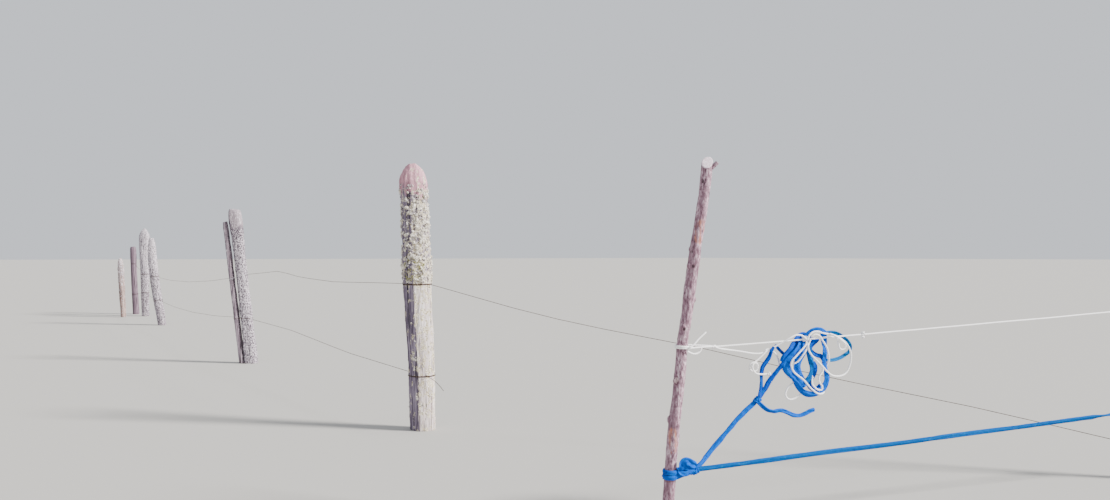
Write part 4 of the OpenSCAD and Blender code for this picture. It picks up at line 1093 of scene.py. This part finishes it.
for node, name, voxel, slot, finish, patterns in LOGS:
    log = fresh_skin(node, name, voxel)
    for pattern in patterns:
        weather(log, *pattern)
    smooth(log, 55)
    hand_over(log, slot, finish, node)
    for kind, tufts, count, sizes, low, high, seed, clumps, scarce, near in GROWTH.get(node, []):
        if near:
            near = (on_skin(node, *near[:2]), near[2])
        growth = grow_lichen(f"{node}_{kind}", log, count, sizes, low, high, seed, clumps, scarce, near)
        hand_over(growth, "lichen_wood", tufts)


# Stakes: where each one's bark is scraped, scarred and holed, as a height and a turn in degrees
NEAR_MARKS = {
    "scrapes": [(0.352, 318), (0.32, 322), (1.098, 340), (1.07, 334)],
    "scars": [(0.552, 289)],
    "holes": [(0.648, 330), (0.737, 318), (0.96, 325), (1.011, 282), (1.264, 290)],
}
END_MARKS = {
    "scrapes": [(0.5, 270)],
    "scars": [(0.66, 285)],
    "holes": [(0.8, 300), (0.4, 285)],
}


# The saw cut on a stake: how far below its top it reaches, how deep the skin counts as sawn and how
# much weathering is left there
CUT_REACH = 0.075
CUT_DEPTH = 0.0016
CUT_HOLD = 0.08


def saw_cut(node):
    """A point of the slanted saw cut on top of a stake's solid, and the way it faces."""
    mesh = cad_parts[node].data
    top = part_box(node)[1].z
    faces = [face for face in mesh.polygons if face.center.z > top - CUT_REACH and face.normal.z > 0.5]
    largest = max(faces, key=lambda face: face.area)
    return largest.center.copy(), largest.normal.copy()


def bark_stake(node, name, bark_name, marks):
    """A stake with a skin of fine bark, left smooth on its saw cut."""
    place, way = saw_cut(node)
    spots = {kind: [on_skin(node, *spot) for spot in rows] for kind, rows in marks.items()}
    bark = rough_bark(bark_name, cut_face=(place, way), **spots)
    stake = fresh_skin(node, name, 0.0026)
    sawn = [v.index for v in stake.data.vertices if (v.co - place).dot(way) > -CUT_DEPTH]
    stake.vertex_groups["free"].add(sawn, CUT_HOLD, "REPLACE")
    weather(stake, 0.05, 0.005, 1.5)
    weather(stake, 0.008, 0.0024, 3.5)
    smooth(stake, 60)
    hand_over(stake, "stake_bark", bark, node)


bark_stake("near_stake", "near_stake_trunk", "rubbed_lilac_bark", NEAR_MARKS)
bark_stake("end_stake", "end_stake_trunk", "dry_lilac_bark", END_MARKS)
stub = fresh_skin("near_stake_stub", "near_stake_shoot", 0.0018)
weather(stub, 0.012, 0.004, 1.0)
smooth(stub, 60)
hand_over(stub, "stake_bark", rough_bark("young_shoot_bark"), "near_stake_stub")

# Wires keep their solids and get their finish
for name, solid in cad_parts.items():
    if "wire" in name or "tie" in name:
        solid.data.materials.clear()
        solid.data.materials.append(zinc_wire if name == "split_post_upper_tie" else rusty_wire)

# Floor and soft studio light, from the right as the sun stood
let_go()
bpy.ops.mesh.primitive_plane_add(size=400, location=(-4, 1, 0))
floor = bpy.context.object
floor.name = "studio_floor"
floor.data.materials.append(
    blank("pale_studio_floor", 0.95, Specular_IOR_Level=0.1, Base_Color=tone("#aeaca8"))[0])

sun = bpy.data.lights.new("key", "SUN")
sun.energy = 10.0
sun.angle = math.radians(9)
sun.color = (1.0, 0.97, 0.93)
key = bpy.data.objects.new("key", sun)
sun_way = EYE_RIGHT * 0.9 + EYE_BACK * 0.2 + UP * 0.6
key.rotation_euler = sun_way.to_track_quat("Z", "Y").to_euler()
bpy.context.collection.objects.link(key)
world = bpy.data.worlds.new("studio")
bpy.context.scene.world = world
world.use_nodes = True
sky = world.node_tree.nodes["Background"]
sky.inputs["Color"].default_value = tone("#dfe3ea")
sky.inputs["Strength"].default_value = 1.1

let_go()
